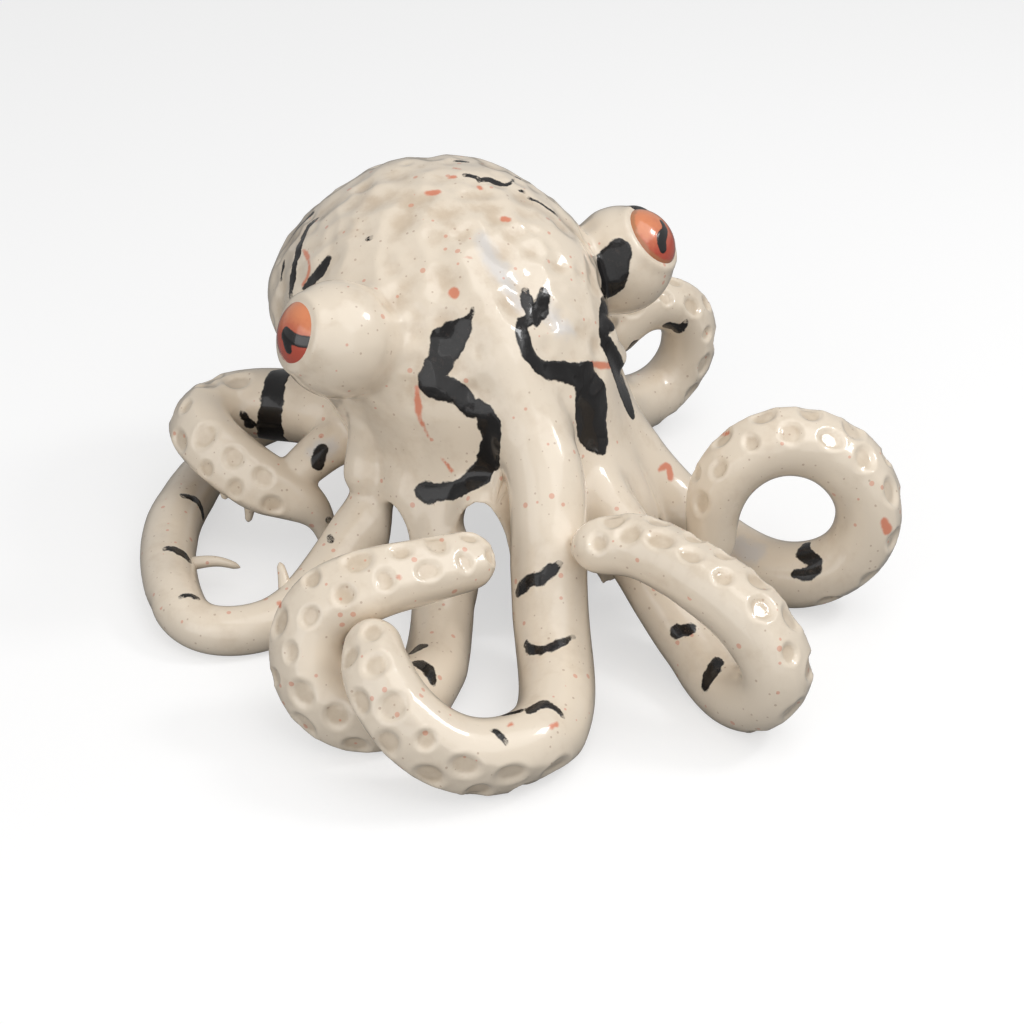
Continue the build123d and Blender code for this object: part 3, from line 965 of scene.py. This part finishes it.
def flatten_bands(places):
    """Presses the sides of the arms that carry suckers flat, like a ribbon."""
    press = settings("press")
    finder = Finder(places)
    moves = np.zeros_like(places)
    weights = np.full(len(places), 1e-6)
    for name in sucker_ways:
        coil = Coil(name)
        shares, out = band_ways(name, coil)
        step = 2 * np.median(np.diff(coil.run))
        for point, way, radius, share, face in zip(coil.points, coil.ways, coil.radii, shares, out):
            if share > 0:
                near = finder.near(point, 1.4 * radius)
                off = places[near] - point
                here = np.clip(1 - np.abs(off @ way) / step, 0, 1)
                over = np.maximum(off @ face / radius - press.band_share, 0) * radius
                moves[near] -= (over * here * share * press.band_press)[:, None] * face
                weights[near] += here
    return places + moves / weights[:, None]


def press_suckers(places, normals):
    """Moves of the points under the suckers, and how strongly their hollows are painted darker: pooled glaze
    and painted shade.
    """
    press = settings("press")
    moves = np.zeros(len(places))
    pool_shades = np.zeros(len(places))
    finder = Finder(places)
    for name in sucker_ways:
        for middle, way, along, half in sucker_spots(name):
            near = finder.near(middle, 2.1 * max(half))
            off = places[near] - middle
            side = np.cross(way, along)
            across = np.hypot(off @ along / half[0], off @ side / half[1])
            facing = smooth_step((normals[near] @ way - 0.2) / 0.4)
            dish = smooth_step((1.04 - across) / 0.42)
            lip = np.exp(-((across - 1.14) / 0.15) ** 2)
            bowl = dish * (0.85 + 0.15 * (1 - np.minimum(across, 1) ** 2))
            moves[near] += facing * (lip * sucker_lip_share - bowl) * press.sucker_depth
            pool_shades[near] = np.maximum(pool_shades[near], facing * dish)
    return moves, pool_shades


def press_dents(places, normals, heights):
    """Moves of the points under the potter's fingers, with dents on the mantle and lumps all over, and how
    deep each point lies in a dent, which sets the painted shade there.
    """
    press, form = settings("press"), settings("form")
    draw = np.random.default_rng(7)
    dents = np.zeros(len(places))
    lumps = np.zeros(len(places))
    finder = Finder(places)
    on_body = (np.abs(heights[0]) < 3 * mm) & (heights[1:].min(0) > 0)
    mantle = np.nonzero(on_body & (places[:, 2] > dented_height_share * form.figure_height))[0]
    for index in draw.choice(mantle, dent_count):
        wide = draw.uniform(*dent_radii) * mm
        deep = press.dent_depth * draw.uniform(0.3, 1.0) * min(1, wide / full_dent_radius)
        near = finder.near(places[index], wide)
        far = np.linalg.norm(places[near] - places[index], axis=1) / wide
        dish = deep * (1 - far ** 2) ** 2 * (normals[near] @ normals[index] > 0)
        dents[near] = (dents[near] ** 3 + dish ** 3) ** (1 / 3)
    for index in draw.choice(len(places), lump_count):
        wide = draw.uniform(*lump_radii) * mm
        near = finder.near(places[index], 2.2 * wide)
        far = np.linalg.norm(places[near] - places[index], axis=1) / wide
        lumps[near] += draw.uniform(-1, 1) * press.lump_height * np.exp(-(far ** 2))
    return lumps - dents, dents / press.dent_depth


def press_sockets(places):
    """Sinks the skin of the eye mounds under the eyeballs, inside a raised lid."""
    form, press = settings("form"), settings("press")
    for side in eye_shares:
        middle, gaze = pressed_eye(side)
        off = places - middle
        depth = off @ gaze
        across = np.linalg.norm(off - depth[:, None] * gaze, axis=1)
        share = np.hypot(depth / (form.eyeball_depth / 2), across / (form.eyeball_diameter / 2))
        front = smooth_step(depth / (form.eyeball_depth / 2) + 0.6)
        lid = np.exp(-((share - 1.09) / 0.08) ** 2) * press.lid_rise
        sink = smooth_step((0.97 - share) / 0.3) * form.eyeball_depth / 3
        places = places + ((lid - sink) * front)[:, None] * gaze
    return places


def stroke_depths(strokes, places, normals):
    """How far each point lies outside the nearest brush stroke, in mm, and how dry the brush is there."""
    depths = np.full(len(places), no_stroke)
    dry = np.zeros(len(places))
    for found in strokes:
        line = np.array([[*place, half] for place, _, half in found])
        facing = unit(np.mean([normal for _, normal, _ in found], axis=0))
        length = np.linalg.norm(np.diff(line[:, :3], axis=0), axis=1).sum()
        count = max(2, int(length / stroke_step))
        line = smooth_line(line, count)[0] if len(line) > 2 else np.linspace(line[0], line[-1], count)
        room = line[:, 3].max() + stroke_room
        low, high = line[:, :3].min(0) - room, line[:, :3].max(0) + room
        near = np.nonzero(((places > low) & (places < high)).all(1) & (normals @ facing > -0.15))[0]
        if len(near):
            gaps = np.linalg.norm(places[near][:, None] - line[None, :, :3], axis=2) - line[None, :, 3]
            nearest = gaps.argmin(1)
            gaps = gaps[np.arange(len(near)), nearest] / mm
            closer = gaps < depths[near]
            depths[near[closer]] = gaps[closer]
            end = np.maximum(1 - nearest / (0.18 * count), 1 - (count - 1 - nearest) / (0.25 * count))
            slim = smooth_step((dry_half_width - line[nearest, 3]) / dry_range)
            dry[near[closer]] = (np.clip(end, 0, 1) * slim)[closer]
    return depths, dry


def seen_strokes(piece, table):
    """Brush strokes under pixels of the photograph: places, normals and half widths on a piece."""
    strokes = []
    for pixels in table:
        found = []
        for across, down, half in pixels:
            for place, normal, size in seen(piece, [(across, down)]):
                found.append((place, normal, half * size))
        if len(found) > 1:
            strokes.append(found)
    return strokes


def far_strokes(clay):
    """Brush strokes on the sides that the photograph does not show."""
    form = settings("form")
    half = np.array([form.figure_width / 2, form.figure_depth / 2, form.figure_height])
    strokes = []
    for wide, shares in far_ink_shares:
        found = []
        for share in shares:
            hit, place, normal, _ = clay.closest_point_on_mesh(Vector(np.array(share) * half))
            if hit:
                found.append((np.array(place), np.array(normal), wide))
        strokes.append(found)
    return strokes


def brush(clay, places, normals):
    """Keeps the brushed marks of the glaze on the clay's points."""
    bpy.context.view_layer.update()
    ink, dry = stroke_depths(seen_strokes(clay, ink_pixels) + far_strokes(clay), places, normals)
    store(clay.data, "ink", ink)
    store(clay.data, "dry", dry)
    for name, table in (("coral", coral_pixels), ("veil", veil_pixels)):
        store(clay.data, name, stroke_depths(seen_strokes(clay, table), places, normals)[0])


def owners(heights):
    """Which clay piece each point belongs to, as a place in the list of clay pieces."""
    nearest = heights[1:].argmin(0) + 1
    on_body = heights[0] < settings("press").parting
    far = heights[1:].min(0) > joint_reach
    return np.where(on_body | far, 0, nearest)


def part_clay(clay):
    """Splits the skin along the joints, and marks each face with the piece that it belongs to."""
    mesh = clay.data
    places = points_of(mesh)[0]
    heights = claims(places)
    owner = owners(heights)
    ends = np.empty(len(mesh.edges) * 2, int)
    mesh.edges.foreach_get("vertices", ends)
    ends = ends.reshape(-1, 2)
    crossing = np.nonzero(owner[ends[:, 0]] != owner[ends[:, 1]])[0]
    shape = bmesh.new()
    shape.from_mesh(mesh)
    mark = shape.verts.layers.int.new("owner")
    for vert, number in zip(shape.verts, owner.tolist()):
        vert[mark] = number
    shape.edges.ensure_lookup_table()
    edges = [(shape.edges[i], i) for i in crossing]
    joints = []
    for edge, i in edges:
        first, second = edge.verts[0].index, edge.verts[1].index
        here, there = owner[first], owner[second]
        if 0 in (here, there):
            gaps = heights[0][[first, second]] - settings("press").parting
        else:
            gaps = heights[here][[first, second]] - heights[there][[first, second]]
        part = gaps[0] / (gaps[0] - gaps[1]) if gaps[0] * gaps[1] < 0 else 0.5
        part = min(max(part, split_margin_share), 1 - split_margin_share)
        joint = bmesh.utils.edge_split(edge, edge.verts[0], part)[1]
        joint[mark] = -1
        joints.append(joint)
    bmesh.ops.connect_verts(shape, verts=joints, check_degenerate=False)
    for face in shape.faces:
        numbers = [vert[mark] for vert in face.verts if vert[mark] >= 0]
        face.material_index = max(set(numbers), key=numbers.count) if numbers else 0
    shape.to_mesh(mesh)
    shape.free()


def shut(shape, cap_mark):
    """Closes every open edge loop of a piece with a cap that runs inward to a point under the skin."""
    depth = settings("press").cap_depth
    skin_normal = shape.verts.layers.float_vector["form_normal"]
    rims = [edge for edge in shape.edges if edge.is_boundary]
    made = bmesh.ops.holes_fill(shape, edges=rims, sides=0)["faces"]
    caps = bmesh.ops.poke(shape, faces=made)
    for face in caps["faces"]:
        face[cap_mark] = 1
    for middle in caps["verts"]:
        rim = [edge.other_vert(middle) for edge in middle.link_edges]
        inner = [vert.co - vert[skin_normal] * depth for vert in rim]
        middle.co = sum(inner, Vector()) / len(inner)


def finish_skin(piece):
    """Gives a piece the smooth normals of the whole form, with plain ones on its caps."""
    mesh = piece.data
    mesh.polygons.foreach_set("use_smooth", np.ones(len(mesh.polygons), bool))
    corners = np.empty(len(mesh.loops), int)
    mesh.loops.foreach_get("vertex_index", corners)
    kept = np.empty(len(mesh.vertices) * 3, np.float32)
    mesh.attributes["form_normal"].data.foreach_get("vector", kept)
    normals = kept.reshape(-1, 3)[corners]
    caps = np.empty(len(mesh.polygons), np.int32)
    mesh.attributes["cap"].data.foreach_get("value", caps)
    sizes = np.empty(len(mesh.polygons), np.int32)
    mesh.polygons.foreach_get("loop_total", sizes)
    flat = np.empty(len(mesh.polygons) * 3, np.float32)
    mesh.polygons.foreach_get("normal", flat)
    on_cap = np.repeat(caps, sizes).astype(bool)
    normals[on_cap] = np.repeat(flat.reshape(-1, 3), sizes, axis=0)[on_cap]
    mesh.attributes.remove(mesh.attributes["form_normal"])
    mesh.attributes.remove(mesh.attributes["cap"])
    mesh.normals_split_custom_set(unit(normals).tolist())


def dress(piece, node, material):
    """Hides the node that a finished piece stands for, fixes the piece to the root body, and glazes it."""
    piece.data.materials.clear()
    piece.data.materials.append(material)
    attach(piece, "root")
    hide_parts(node)


class Wire:
    """One output of a glaze's nodes: sums of wires and numbers add Math nodes."""

    def __init__(self, nodes, socket):
        self.nodes = nodes
        self.socket = socket

    def sum(self, operation, first, second):
        return self.nodes.add("ShaderNodeMath", {"operation": operation}, {0: first, 1: second})

    def __add__(self, other):
        return self.sum("ADD", self, other)

    def __sub__(self, other):
        return self.sum("SUBTRACT", self, other)

    def __rsub__(self, other):
        return self.sum("SUBTRACT", other, self)

    def __mul__(self, other):
        return self.sum("MULTIPLY", self, other)

    __radd__ = __add__
    __rmul__ = __mul__


class Nodes:
    """The nodes of one glaze, or of the sky."""

    def __init__(self, owner, shader="Principled BSDF"):
        owner.use_nodes = True
        self.owner = owner
        self.tree = owner.node_tree
        self.shader = self.tree.nodes[shader]

    def add(self, kind, options=None, values=None, output=0):
        """Adds a node with its options and the values or wires of its sockets, and gives one output."""
        node = self.tree.nodes.new(kind)
        for name, value in (options or {}).items():
            setattr(node, name, value)
        for key, value in (values or {}).items():
            self.feed(node.inputs[key], value)
        return Wire(self, node.outputs[output])

    def feed(self, socket, value):
        """Links a wire to a socket, or sets the socket's own value."""
        if isinstance(value, Wire):
            self.tree.links.new(value.socket, socket)
        elif socket.type == "RGBA":
            socket.default_value = (*value, 1.0)
        else:
            socket.default_value = value

    def mix(self, share, first, second):
        """A colour between two colours."""
        options = {"data_type": "RGBA", "clamp_factor": True}
        return self.add("ShaderNodeMix", options, {0: share, 6: first, 7: second}, output=2)

    def ramp(self, value, low, high, low_out=0.0, high_out=1.0):
        """A value eased from one range into another."""
        values = {0: value, 1: low, 2: high, 3: low_out, 4: high_out}
        return self.add("ShaderNodeMapRange", {"interpolation_type": "SMOOTHSTEP"}, values)

    def noise(self, place, scale, detail=2.0, rough=0.5):
        """A cloudy value around a half."""
        return self.add("ShaderNodeTexNoise", None, {
            "Vector": place, "Scale": scale, "Detail": detail, "Roughness": rough})

    def kept(self, name):
        """A value kept on the points of the piece."""
        return self.add("ShaderNodeAttribute", {"attribute_name": name}, output=2)

    def specks(self, place, scale, share, size):
        """Spots of mixed sizes on a share of the cells of a scattering."""
        cells = self.add("ShaderNodeTexVoronoi", None, {"Vector": place, "Scale": scale}).socket.node
        far = Wire(self, cells.outputs["Distance"])
        tint = Wire(self, cells.outputs["Color"])
        split = self.add("ShaderNodeSeparateColor", None, {0: tint}).socket.node
        chance, girth = Wire(self, split.outputs[0]), Wire(self, split.outputs[1])
        spot = self.ramp(far - girth * size, 0.02, -0.02)
        return spot * self.add("ShaderNodeMath", {"operation": "LESS_THAN"}, {0: chance, 1: share})


def ivory_glaze():
    """Glossy ivory glaze with specks, flecks and brushed black marks."""
    found = bpy.data.materials.get("brushed_ivory_glaze")
    if found:
        return found
    glaze = settings("glaze")
    nodes = Nodes(bpy.data.materials.new("brushed_ivory_glaze"))
    place = nodes.add("ShaderNodeTexCoord", output=3)
    cloud = nodes.noise(place, 42.0, 4.0, 0.6)
    fine = nodes.noise(place, 210.0, 3.0, 0.6)
    thin = nodes.ramp(cloud + (fine - 0.5) * 0.5, 0.48, 0.80, 0.0, 0.45)
    colour = nodes.mix(thin, tuple(glaze.ivory), tuple(glaze.beige))
    # Painted shade in the mantle's dents, mixed with cloudy stains: the deeper the dent, the more beige
    dent_shade_and_stain = nodes.kept("dented") + (fine - 0.5) * 0.9 + (cloud - 0.5) * 0.9
    dent_shade_and_stain = nodes.ramp(dent_shade_and_stain, 0.35, 1.10, 0.0, 0.8)
    colour = nodes.mix(dent_shade_and_stain, colour, tuple(glaze.beige))
    # Painted shade with pooled glaze: the sucker hollows turn darker, toward the pooled colour
    pooled_shade = nodes.kept("pool") + (fine - 0.5) * 0.7 + (cloud - 0.5) * 0.8
    pooled_shade = nodes.ramp(pooled_shade, 0.45, 1.25, 0.0, 0.55)
    colour = nodes.mix(pooled_shade, colour, tuple(glaze.pooled_shade))
    veil = nodes.ramp(nodes.kept("veil") + (cloud - 0.5) * 12.0 + (fine - 0.5) * 5.0, 2.5, -3.5, 0.0, 0.5)
    colour = nodes.mix(veil, colour, tuple(glaze.veil))
    rust = nodes.specks(place, 430.0, 0.42, 0.22)
    colour = nodes.mix(rust * 0.38, colour, tuple(glaze.rust))
    spots = nodes.specks(place, 250.0, 0.28, 0.26)
    colour = nodes.mix(spots * 0.5, colour, tuple(glaze.coral))
    ragged = nodes.noise(place, 240.0, 3.0, 0.55)
    coral = nodes.ramp(nodes.kept("coral") + (ragged - 0.5) * 2.2, 0.45, -0.6, 0.0, 0.85)
    colour = nodes.mix(coral, colour, tuple(glaze.coral))
    edge = nodes.kept("ink") + (ragged - 0.5) * 3.2
    streaks = nodes.noise(place, 520.0, 4.0, 0.7)
    cover = nodes.ramp(nodes.kept("dry") * 0.55 - (streaks - 0.5) * 1.5, 0.62, 0.28, 0.35, 1.0)
    ink = nodes.ramp(edge, 0.55, -0.05) * cover
    dull = nodes.ramp(streaks + (cloud - 0.5) * 0.8, 0.56, 0.80, 0.0, 0.5)
    colour = nodes.mix(ink, colour, nodes.mix(dull, tuple(glaze.black), tuple(glaze.dry_black)))
    shader = nodes.shader
    nodes.feed(shader.inputs["Base Color"], colour)
    nodes.feed(shader.inputs["Roughness"], 0.30 + (fine - 0.5) * 0.12 - ink * 0.10)
    nodes.feed(shader.inputs["Coat Weight"], 0.85 - ink * 0.30)
    shader.inputs["Coat Roughness"].default_value = 0.06
    shader.inputs["Specular IOR Level"].default_value = 0.25
    raised = nodes.ramp(edge, 0.5, -1.0) * 0.45 + streaks * ink * 0.25 + fine * 0.08 + cloud * 0.25
    bump = nodes.add("ShaderNodeBump", None, {"Strength": 0.7, "Distance": mm, "Height": raised})
    nodes.feed(shader.inputs["Normal"], bump)
    return nodes.owner


def eye_glaze():
    """Glossy coral glaze, deeper toward the eye's foot, with a brown line at the lid and a black pupil."""
    found = bpy.data.materials.get("coral_eye_glaze")
    if found:
        return found
    glaze = settings("glaze")
    nodes = Nodes(bpy.data.materials.new("coral_eye_glaze"))
    place = nodes.add("ShaderNodeTexCoord", output=3)
    cloud = nodes.noise(place, 150.0, 3.0, 0.6)
    ragged = nodes.noise(place, 420.0, 3.0, 0.65)
    lighter = nodes.ramp(nodes.kept("rise") + (cloud - 0.5) * 0.5, 0.50, 0.92)
    colour = nodes.mix(lighter, tuple(glaze.eye_dark), tuple(glaze.eye_light))
    lid_line = nodes.ramp(nodes.kept("rim") + (ragged - 0.5) * 0.12, 1.08, 1.18, 0.0, 0.8)
    colour = nodes.mix(lid_line, colour, tuple(glaze.lid))
    edge = nodes.kept("ink") + (ragged - 0.5) * 0.9
    ink = nodes.ramp(edge, 0.35, -0.15)
    colour = nodes.mix(ink, colour, tuple(glaze.black))
    shader = nodes.shader
    nodes.feed(shader.inputs["Base Color"], colour)
    nodes.feed(shader.inputs["Roughness"], 0.20 + cloud * 0.08)
    shader.inputs["Coat Weight"].default_value = 0.85
    shader.inputs["Coat Roughness"].default_value = 0.04
    bump = nodes.add("ShaderNodeBump", None, {
        "Strength": 0.5, "Distance": mm, "Height": nodes.ramp(edge, 0.5, -0.8) * 0.4 + cloud * 0.25})
    nodes.feed(shader.inputs["Normal"], bump)
    return nodes.owner


class OCTOPUS_OT_clay(bpy.types.Operator):
    """Shapes the whole clay form, presses it and brushes the glaze's marks on it"""

    bl_idname = "octopus.clay"
    bl_label = "Shape the clay"

    def execute(self, context):
        clay = wet_form()
        sponge(clay)
        place_points(clay.data, flatten_bands(points_of(clay.data)[0]))
        places, normals = points_of(clay.data)
        moves, pool_shades = press_suckers(places, normals)
        dent_moves, dented = press_dents(places, normals, claims(places))
        places = places + normals * (moves + dent_moves)[:, None]
        places = press_sockets(places)
        places[:, 2] = np.maximum(places[:, 2], 0)
        place_points(clay.data, places)
        places, normals = points_of(clay.data)
        store(clay.data, "pool", pool_shades)
        store(clay.data, "dented", dented)
        store(clay.data, "form_normal", normals, "FLOAT_VECTOR")
        brush(clay, places, normals)
        return {"FINISHED"}


class OCTOPUS_OT_parts(bpy.types.Operator):
    """Parts the clay into the body, the eye mounds and the arms"""

    bl_idname = "octopus.parts"
    bl_label = "Part the clay"

    def execute(self, context):
        clay = bpy.data.objects["clay"]
        for name in clay_names:
            clay.data.materials.append(bpy.data.materials.new("part_" + name))
        part_clay(clay)
        before = set(bpy.data.objects)
        bpy.ops.object.select_all(action="DESELECT")
        context.view_layer.objects.active = clay
        clay.select_set(True)
        bpy.ops.object.mode_set(mode="EDIT")
        bpy.ops.mesh.select_all(action="SELECT")
        bpy.ops.mesh.separate(type="MATERIAL")
        bpy.ops.object.mode_set(mode="OBJECT")
        for piece in [clay] + [item for item in bpy.data.objects if item not in before]:
            name = piece.data.materials[piece.data.polygons[0].material_index].name[len("part_"):]
            self.close(piece, name)
        for name in clay_names:
            bpy.data.materials.remove(bpy.data.materials["part_" + name])
        return {"FINISHED"}

    def close(self, piece, name):
        """Caps one piece, and splits the body at its seam."""
        shape = bmesh.new()
        shape.from_mesh(piece.data)
        cap_mark = shape.faces.layers.int.new("cap")
        shut(shape, cap_mark)
        bmesh.ops.recalc_face_normals(shape, faces=shape.faces)
        discard(piece)
        if name == body_name:
            level = settings("form").seam_height
            for node, keep_top in (("mantle", True), ("skirt", False)):
                half = shape.copy()
                bmesh.ops.bisect_plane(
                    half, geom=half.verts[:] + half.edges[:] + half.faces[:], plane_co=(0, 0, level),
                    plane_no=(0, 0, 1), clear_inner=keep_top, clear_outer=not keep_top)
                rims = [edge for edge in half.edges if edge.is_boundary]
                made = bmesh.ops.triangle_fill(half, use_beauty=True, edges=rims)["geom"]
                mark = half.faces.layers.int["cap"]
                for item in made:
                    if isinstance(item, bmesh.types.BMFace):
                        item[mark] = 1
                bmesh.ops.recalc_face_normals(half, faces=half.faces)
                self.keep(half, node)
            shape.free()
        else:
            self.keep(shape, name)

    def keep(self, shape, node):
        """Makes a finished piece of a closed shape."""
        piece = new_piece("glazed_" + node, shape)
        finish_skin(piece)
        dress(piece, node, ivory_glaze())


class OCTOPUS_OT_eyeballs(bpy.types.Operator):
    """Rolls the two eyeballs and brushes their pupils"""

    bl_idname = "octopus.eyeballs"
    bl_label = "Roll the eyeballs"

    def execute(self, context):
        form = settings("form")
        for side in eye_shares:
            middle, gaze = pressed_eye(side)
            turn = Vector(gaze).to_track_quat("Z", "Y").to_matrix().to_4x4()
            half = form.eyeball_diameter / 2
            size = Matrix.Diagonal((half, half, form.eyeball_depth / 2, 1))
            matrix = Matrix.Translation(Vector(middle)) @ turn @ size
            shape = bmesh.new()
            bmesh.ops.create_uvsphere(shape, u_segments=128, v_segments=96, radius=1, matrix=matrix)
            piece = new_piece(f"glazed_{side}_eyeball", shape)
            piece.data.polygons.foreach_set("use_smooth", np.ones(len(piece.data.polygons), bool))
            context.view_layer.update()
            places, normals = points_of(piece.data)
            depths, _ = stroke_depths(seen_strokes(piece, pupil_pixels[side]), places, normals)
            store(piece.data, "ink", depths)
            store(piece.data, "rim", np.arccos(np.clip(unit(places - middle) @ gaze, -1, 1)))
            store(piece.data, "rise", (places - middle)[:, 2] / form.eyeball_diameter + 0.5)
            dress(piece, f"{side}_eyeball", eye_glaze())
        return {"FINISHED"}


class OCTOPUS_OT_spurs(bpy.types.Operator):
    """Draws out the four small spurs of the left arms"""

    bl_idname = "octopus.spurs"
    bl_label = "Draw out the spurs"

    def execute(self, context):
        form = settings("form")
        for node, (carrier, at, way, length_share, bend) in spur_shares.items():
            coil = Coil(carrier)
            root = np.array([np.interp(at, coil.at, coil.points[:, i]) for i in range(3)])
            radius = np.interp(at, coil.at, coil.radii)
            length = length_share * form.spur_length
            way = unit(way)
            bend = np.array(bend)
            foot = root + way * (radius - spur_sink)
            middle = root + way * (radius + length / 2) + bend * length / 4
            tip = root + way * (radius + length) + bend * length
            line = smooth_line([foot, middle, tip], spur_ring_count)[0]
            run = np.linspace(0, 1, spur_ring_count)
            taper = 1.12 - 0.62 * run ** 1.4
            blunt = np.sqrt(np.clip((1.0 - run) / 0.12, 0.02, 1))
            shape = bmesh.new()
            loft(shape, coil_matrices(line, form.spur_thickness / 2 * taper * blunt), spur_segments)
            piece = new_piece("glazed_" + node, shape)
            piece.data.polygons.foreach_set("use_smooth", np.ones(len(piece.data.polygons), bool))
            count = len(piece.data.vertices)
            for name in ("ink", "coral", "veil"):
                store(piece.data, name, np.full(count, no_stroke))
            for name in ("pool", "dented", "dry"):
                store(piece.data, name, np.zeros(count))
            dress(piece, node, ivory_glaze())
        return {"FINISHED"}


class OCTOPUS_OT_stage(bpy.types.Operator):
    """Sets the floor, the lights and the camera"""

    bl_idname = "octopus.stage"
    bl_label = "Set the stage"

    def execute(self, context):
        stage = settings("stage")
        scene = context.scene
        scene.view_settings.view_transform = "Standard"
        shape = bmesh.new()
        bmesh.ops.create_grid(shape, x_segments=1, y_segments=1, size=floor_half)
        floor = new_piece("floor", shape)
        paper = Nodes(bpy.data.materials.new("floor_paper"))
        camera_ray = paper.add("ShaderNodeLightPath")
        tone = paper.mix(camera_ray, tuple(stage.bounce), tuple(stage.floor))
        paper.feed(paper.shader.inputs["Base Color"], tone)
        paper.shader.inputs["Roughness"].default_value = 0.8
        paper.feed(paper.shader.inputs["Emission Color"], paper.mix(camera_ray, (0, 0, 0), (1, 1, 1)))
        paper.shader.inputs["Emission Strength"].default_value = stage.glow
        floor.data.materials.append(paper.owner)

        sky = Nodes(bpy.data.worlds.new("studio"), "Background")
        sky.shader.inputs["Color"].default_value = (1.0, 1.0, 1.0, 1.0)
        seen_light = sky.add("ShaderNodeLightPath") * (stage.sky_seen - stage.sky_light) + stage.sky_light
        sky.feed(sky.shader.inputs["Strength"], seen_light)
        scene.world = sky.owner
        for name, (place, size, power) in lamp_rows.items():
            self.lamp(name, place, size, power)

        lens = bpy.data.cameras.new("camera")
        lens.lens = stage.focal_pixels / stage.picture_size * lens.sensor_width
        camera = bpy.data.objects.new("camera", lens)
        camera.location = stage.camera_place
        camera.rotation_euler = (math.pi / 2 - stage.camera_pitch, 0, 0)
        scene.collection.objects.link(camera)
        scene.camera = camera
        return {"FINISHED"}

    def lamp(self, name, place, size, power):
        """A soft box that looks at the figure."""
        light = bpy.data.lights.new(name, "AREA")
        light.size = size
        light.energy = power
        lamp = bpy.data.objects.new(name, light)
        lamp.location = place
        lamp.rotation_euler = (lamp_aim - Vector(place)).to_track_quat("-Z", "Y").to_euler()
        bpy.context.scene.collection.objects.link(lamp)


class OCTOPUS_PT_sidebar(bpy.types.Panel):
    """The figure's steps, in order"""

    bl_idname = "OCTOPUS_PT_sidebar"
    bl_label = "Pottery octopus"
    bl_space_type = "VIEW_3D"
    bl_region_type = "UI"
    bl_category = "Octopus"

    def draw(self, context):
        for operator in operators:
            self.layout.operator(operator.bl_idname)


groups = {"form": FormSettings, "press": PressSettings, "glaze": GlazeSettings, "stage": StageSettings}
operators = [OCTOPUS_OT_clay, OCTOPUS_OT_parts, OCTOPUS_OT_eyeballs, OCTOPUS_OT_spurs, OCTOPUS_OT_stage]


def register():
    """Adds the settings, the operators and the panel."""
    for item in [*groups.values(), *operators, OCTOPUS_PT_sidebar]:
        bpy.utils.register_class(item)
    for name, group in groups.items():
        setattr(bpy.types.Scene, "octopus_" + name, PointerProperty(type=group))


def unregister():
    """Takes them away again."""
    for name in groups:
        delattr(bpy.types.Scene, "octopus_" + name)
    for item in [OCTOPUS_PT_sidebar, *reversed(operators), *reversed(groups.values())]:
        bpy.utils.unregister_class(item)


def main():
    """Builds the figure and its stage."""
    register()
    bpy.ops.octopus.clay()
    bpy.ops.octopus.parts()
    bpy.ops.octopus.eyeballs()
    bpy.ops.octopus.spurs()
    bpy.ops.octopus.stage()


if __name__ == "__main__":
    main()
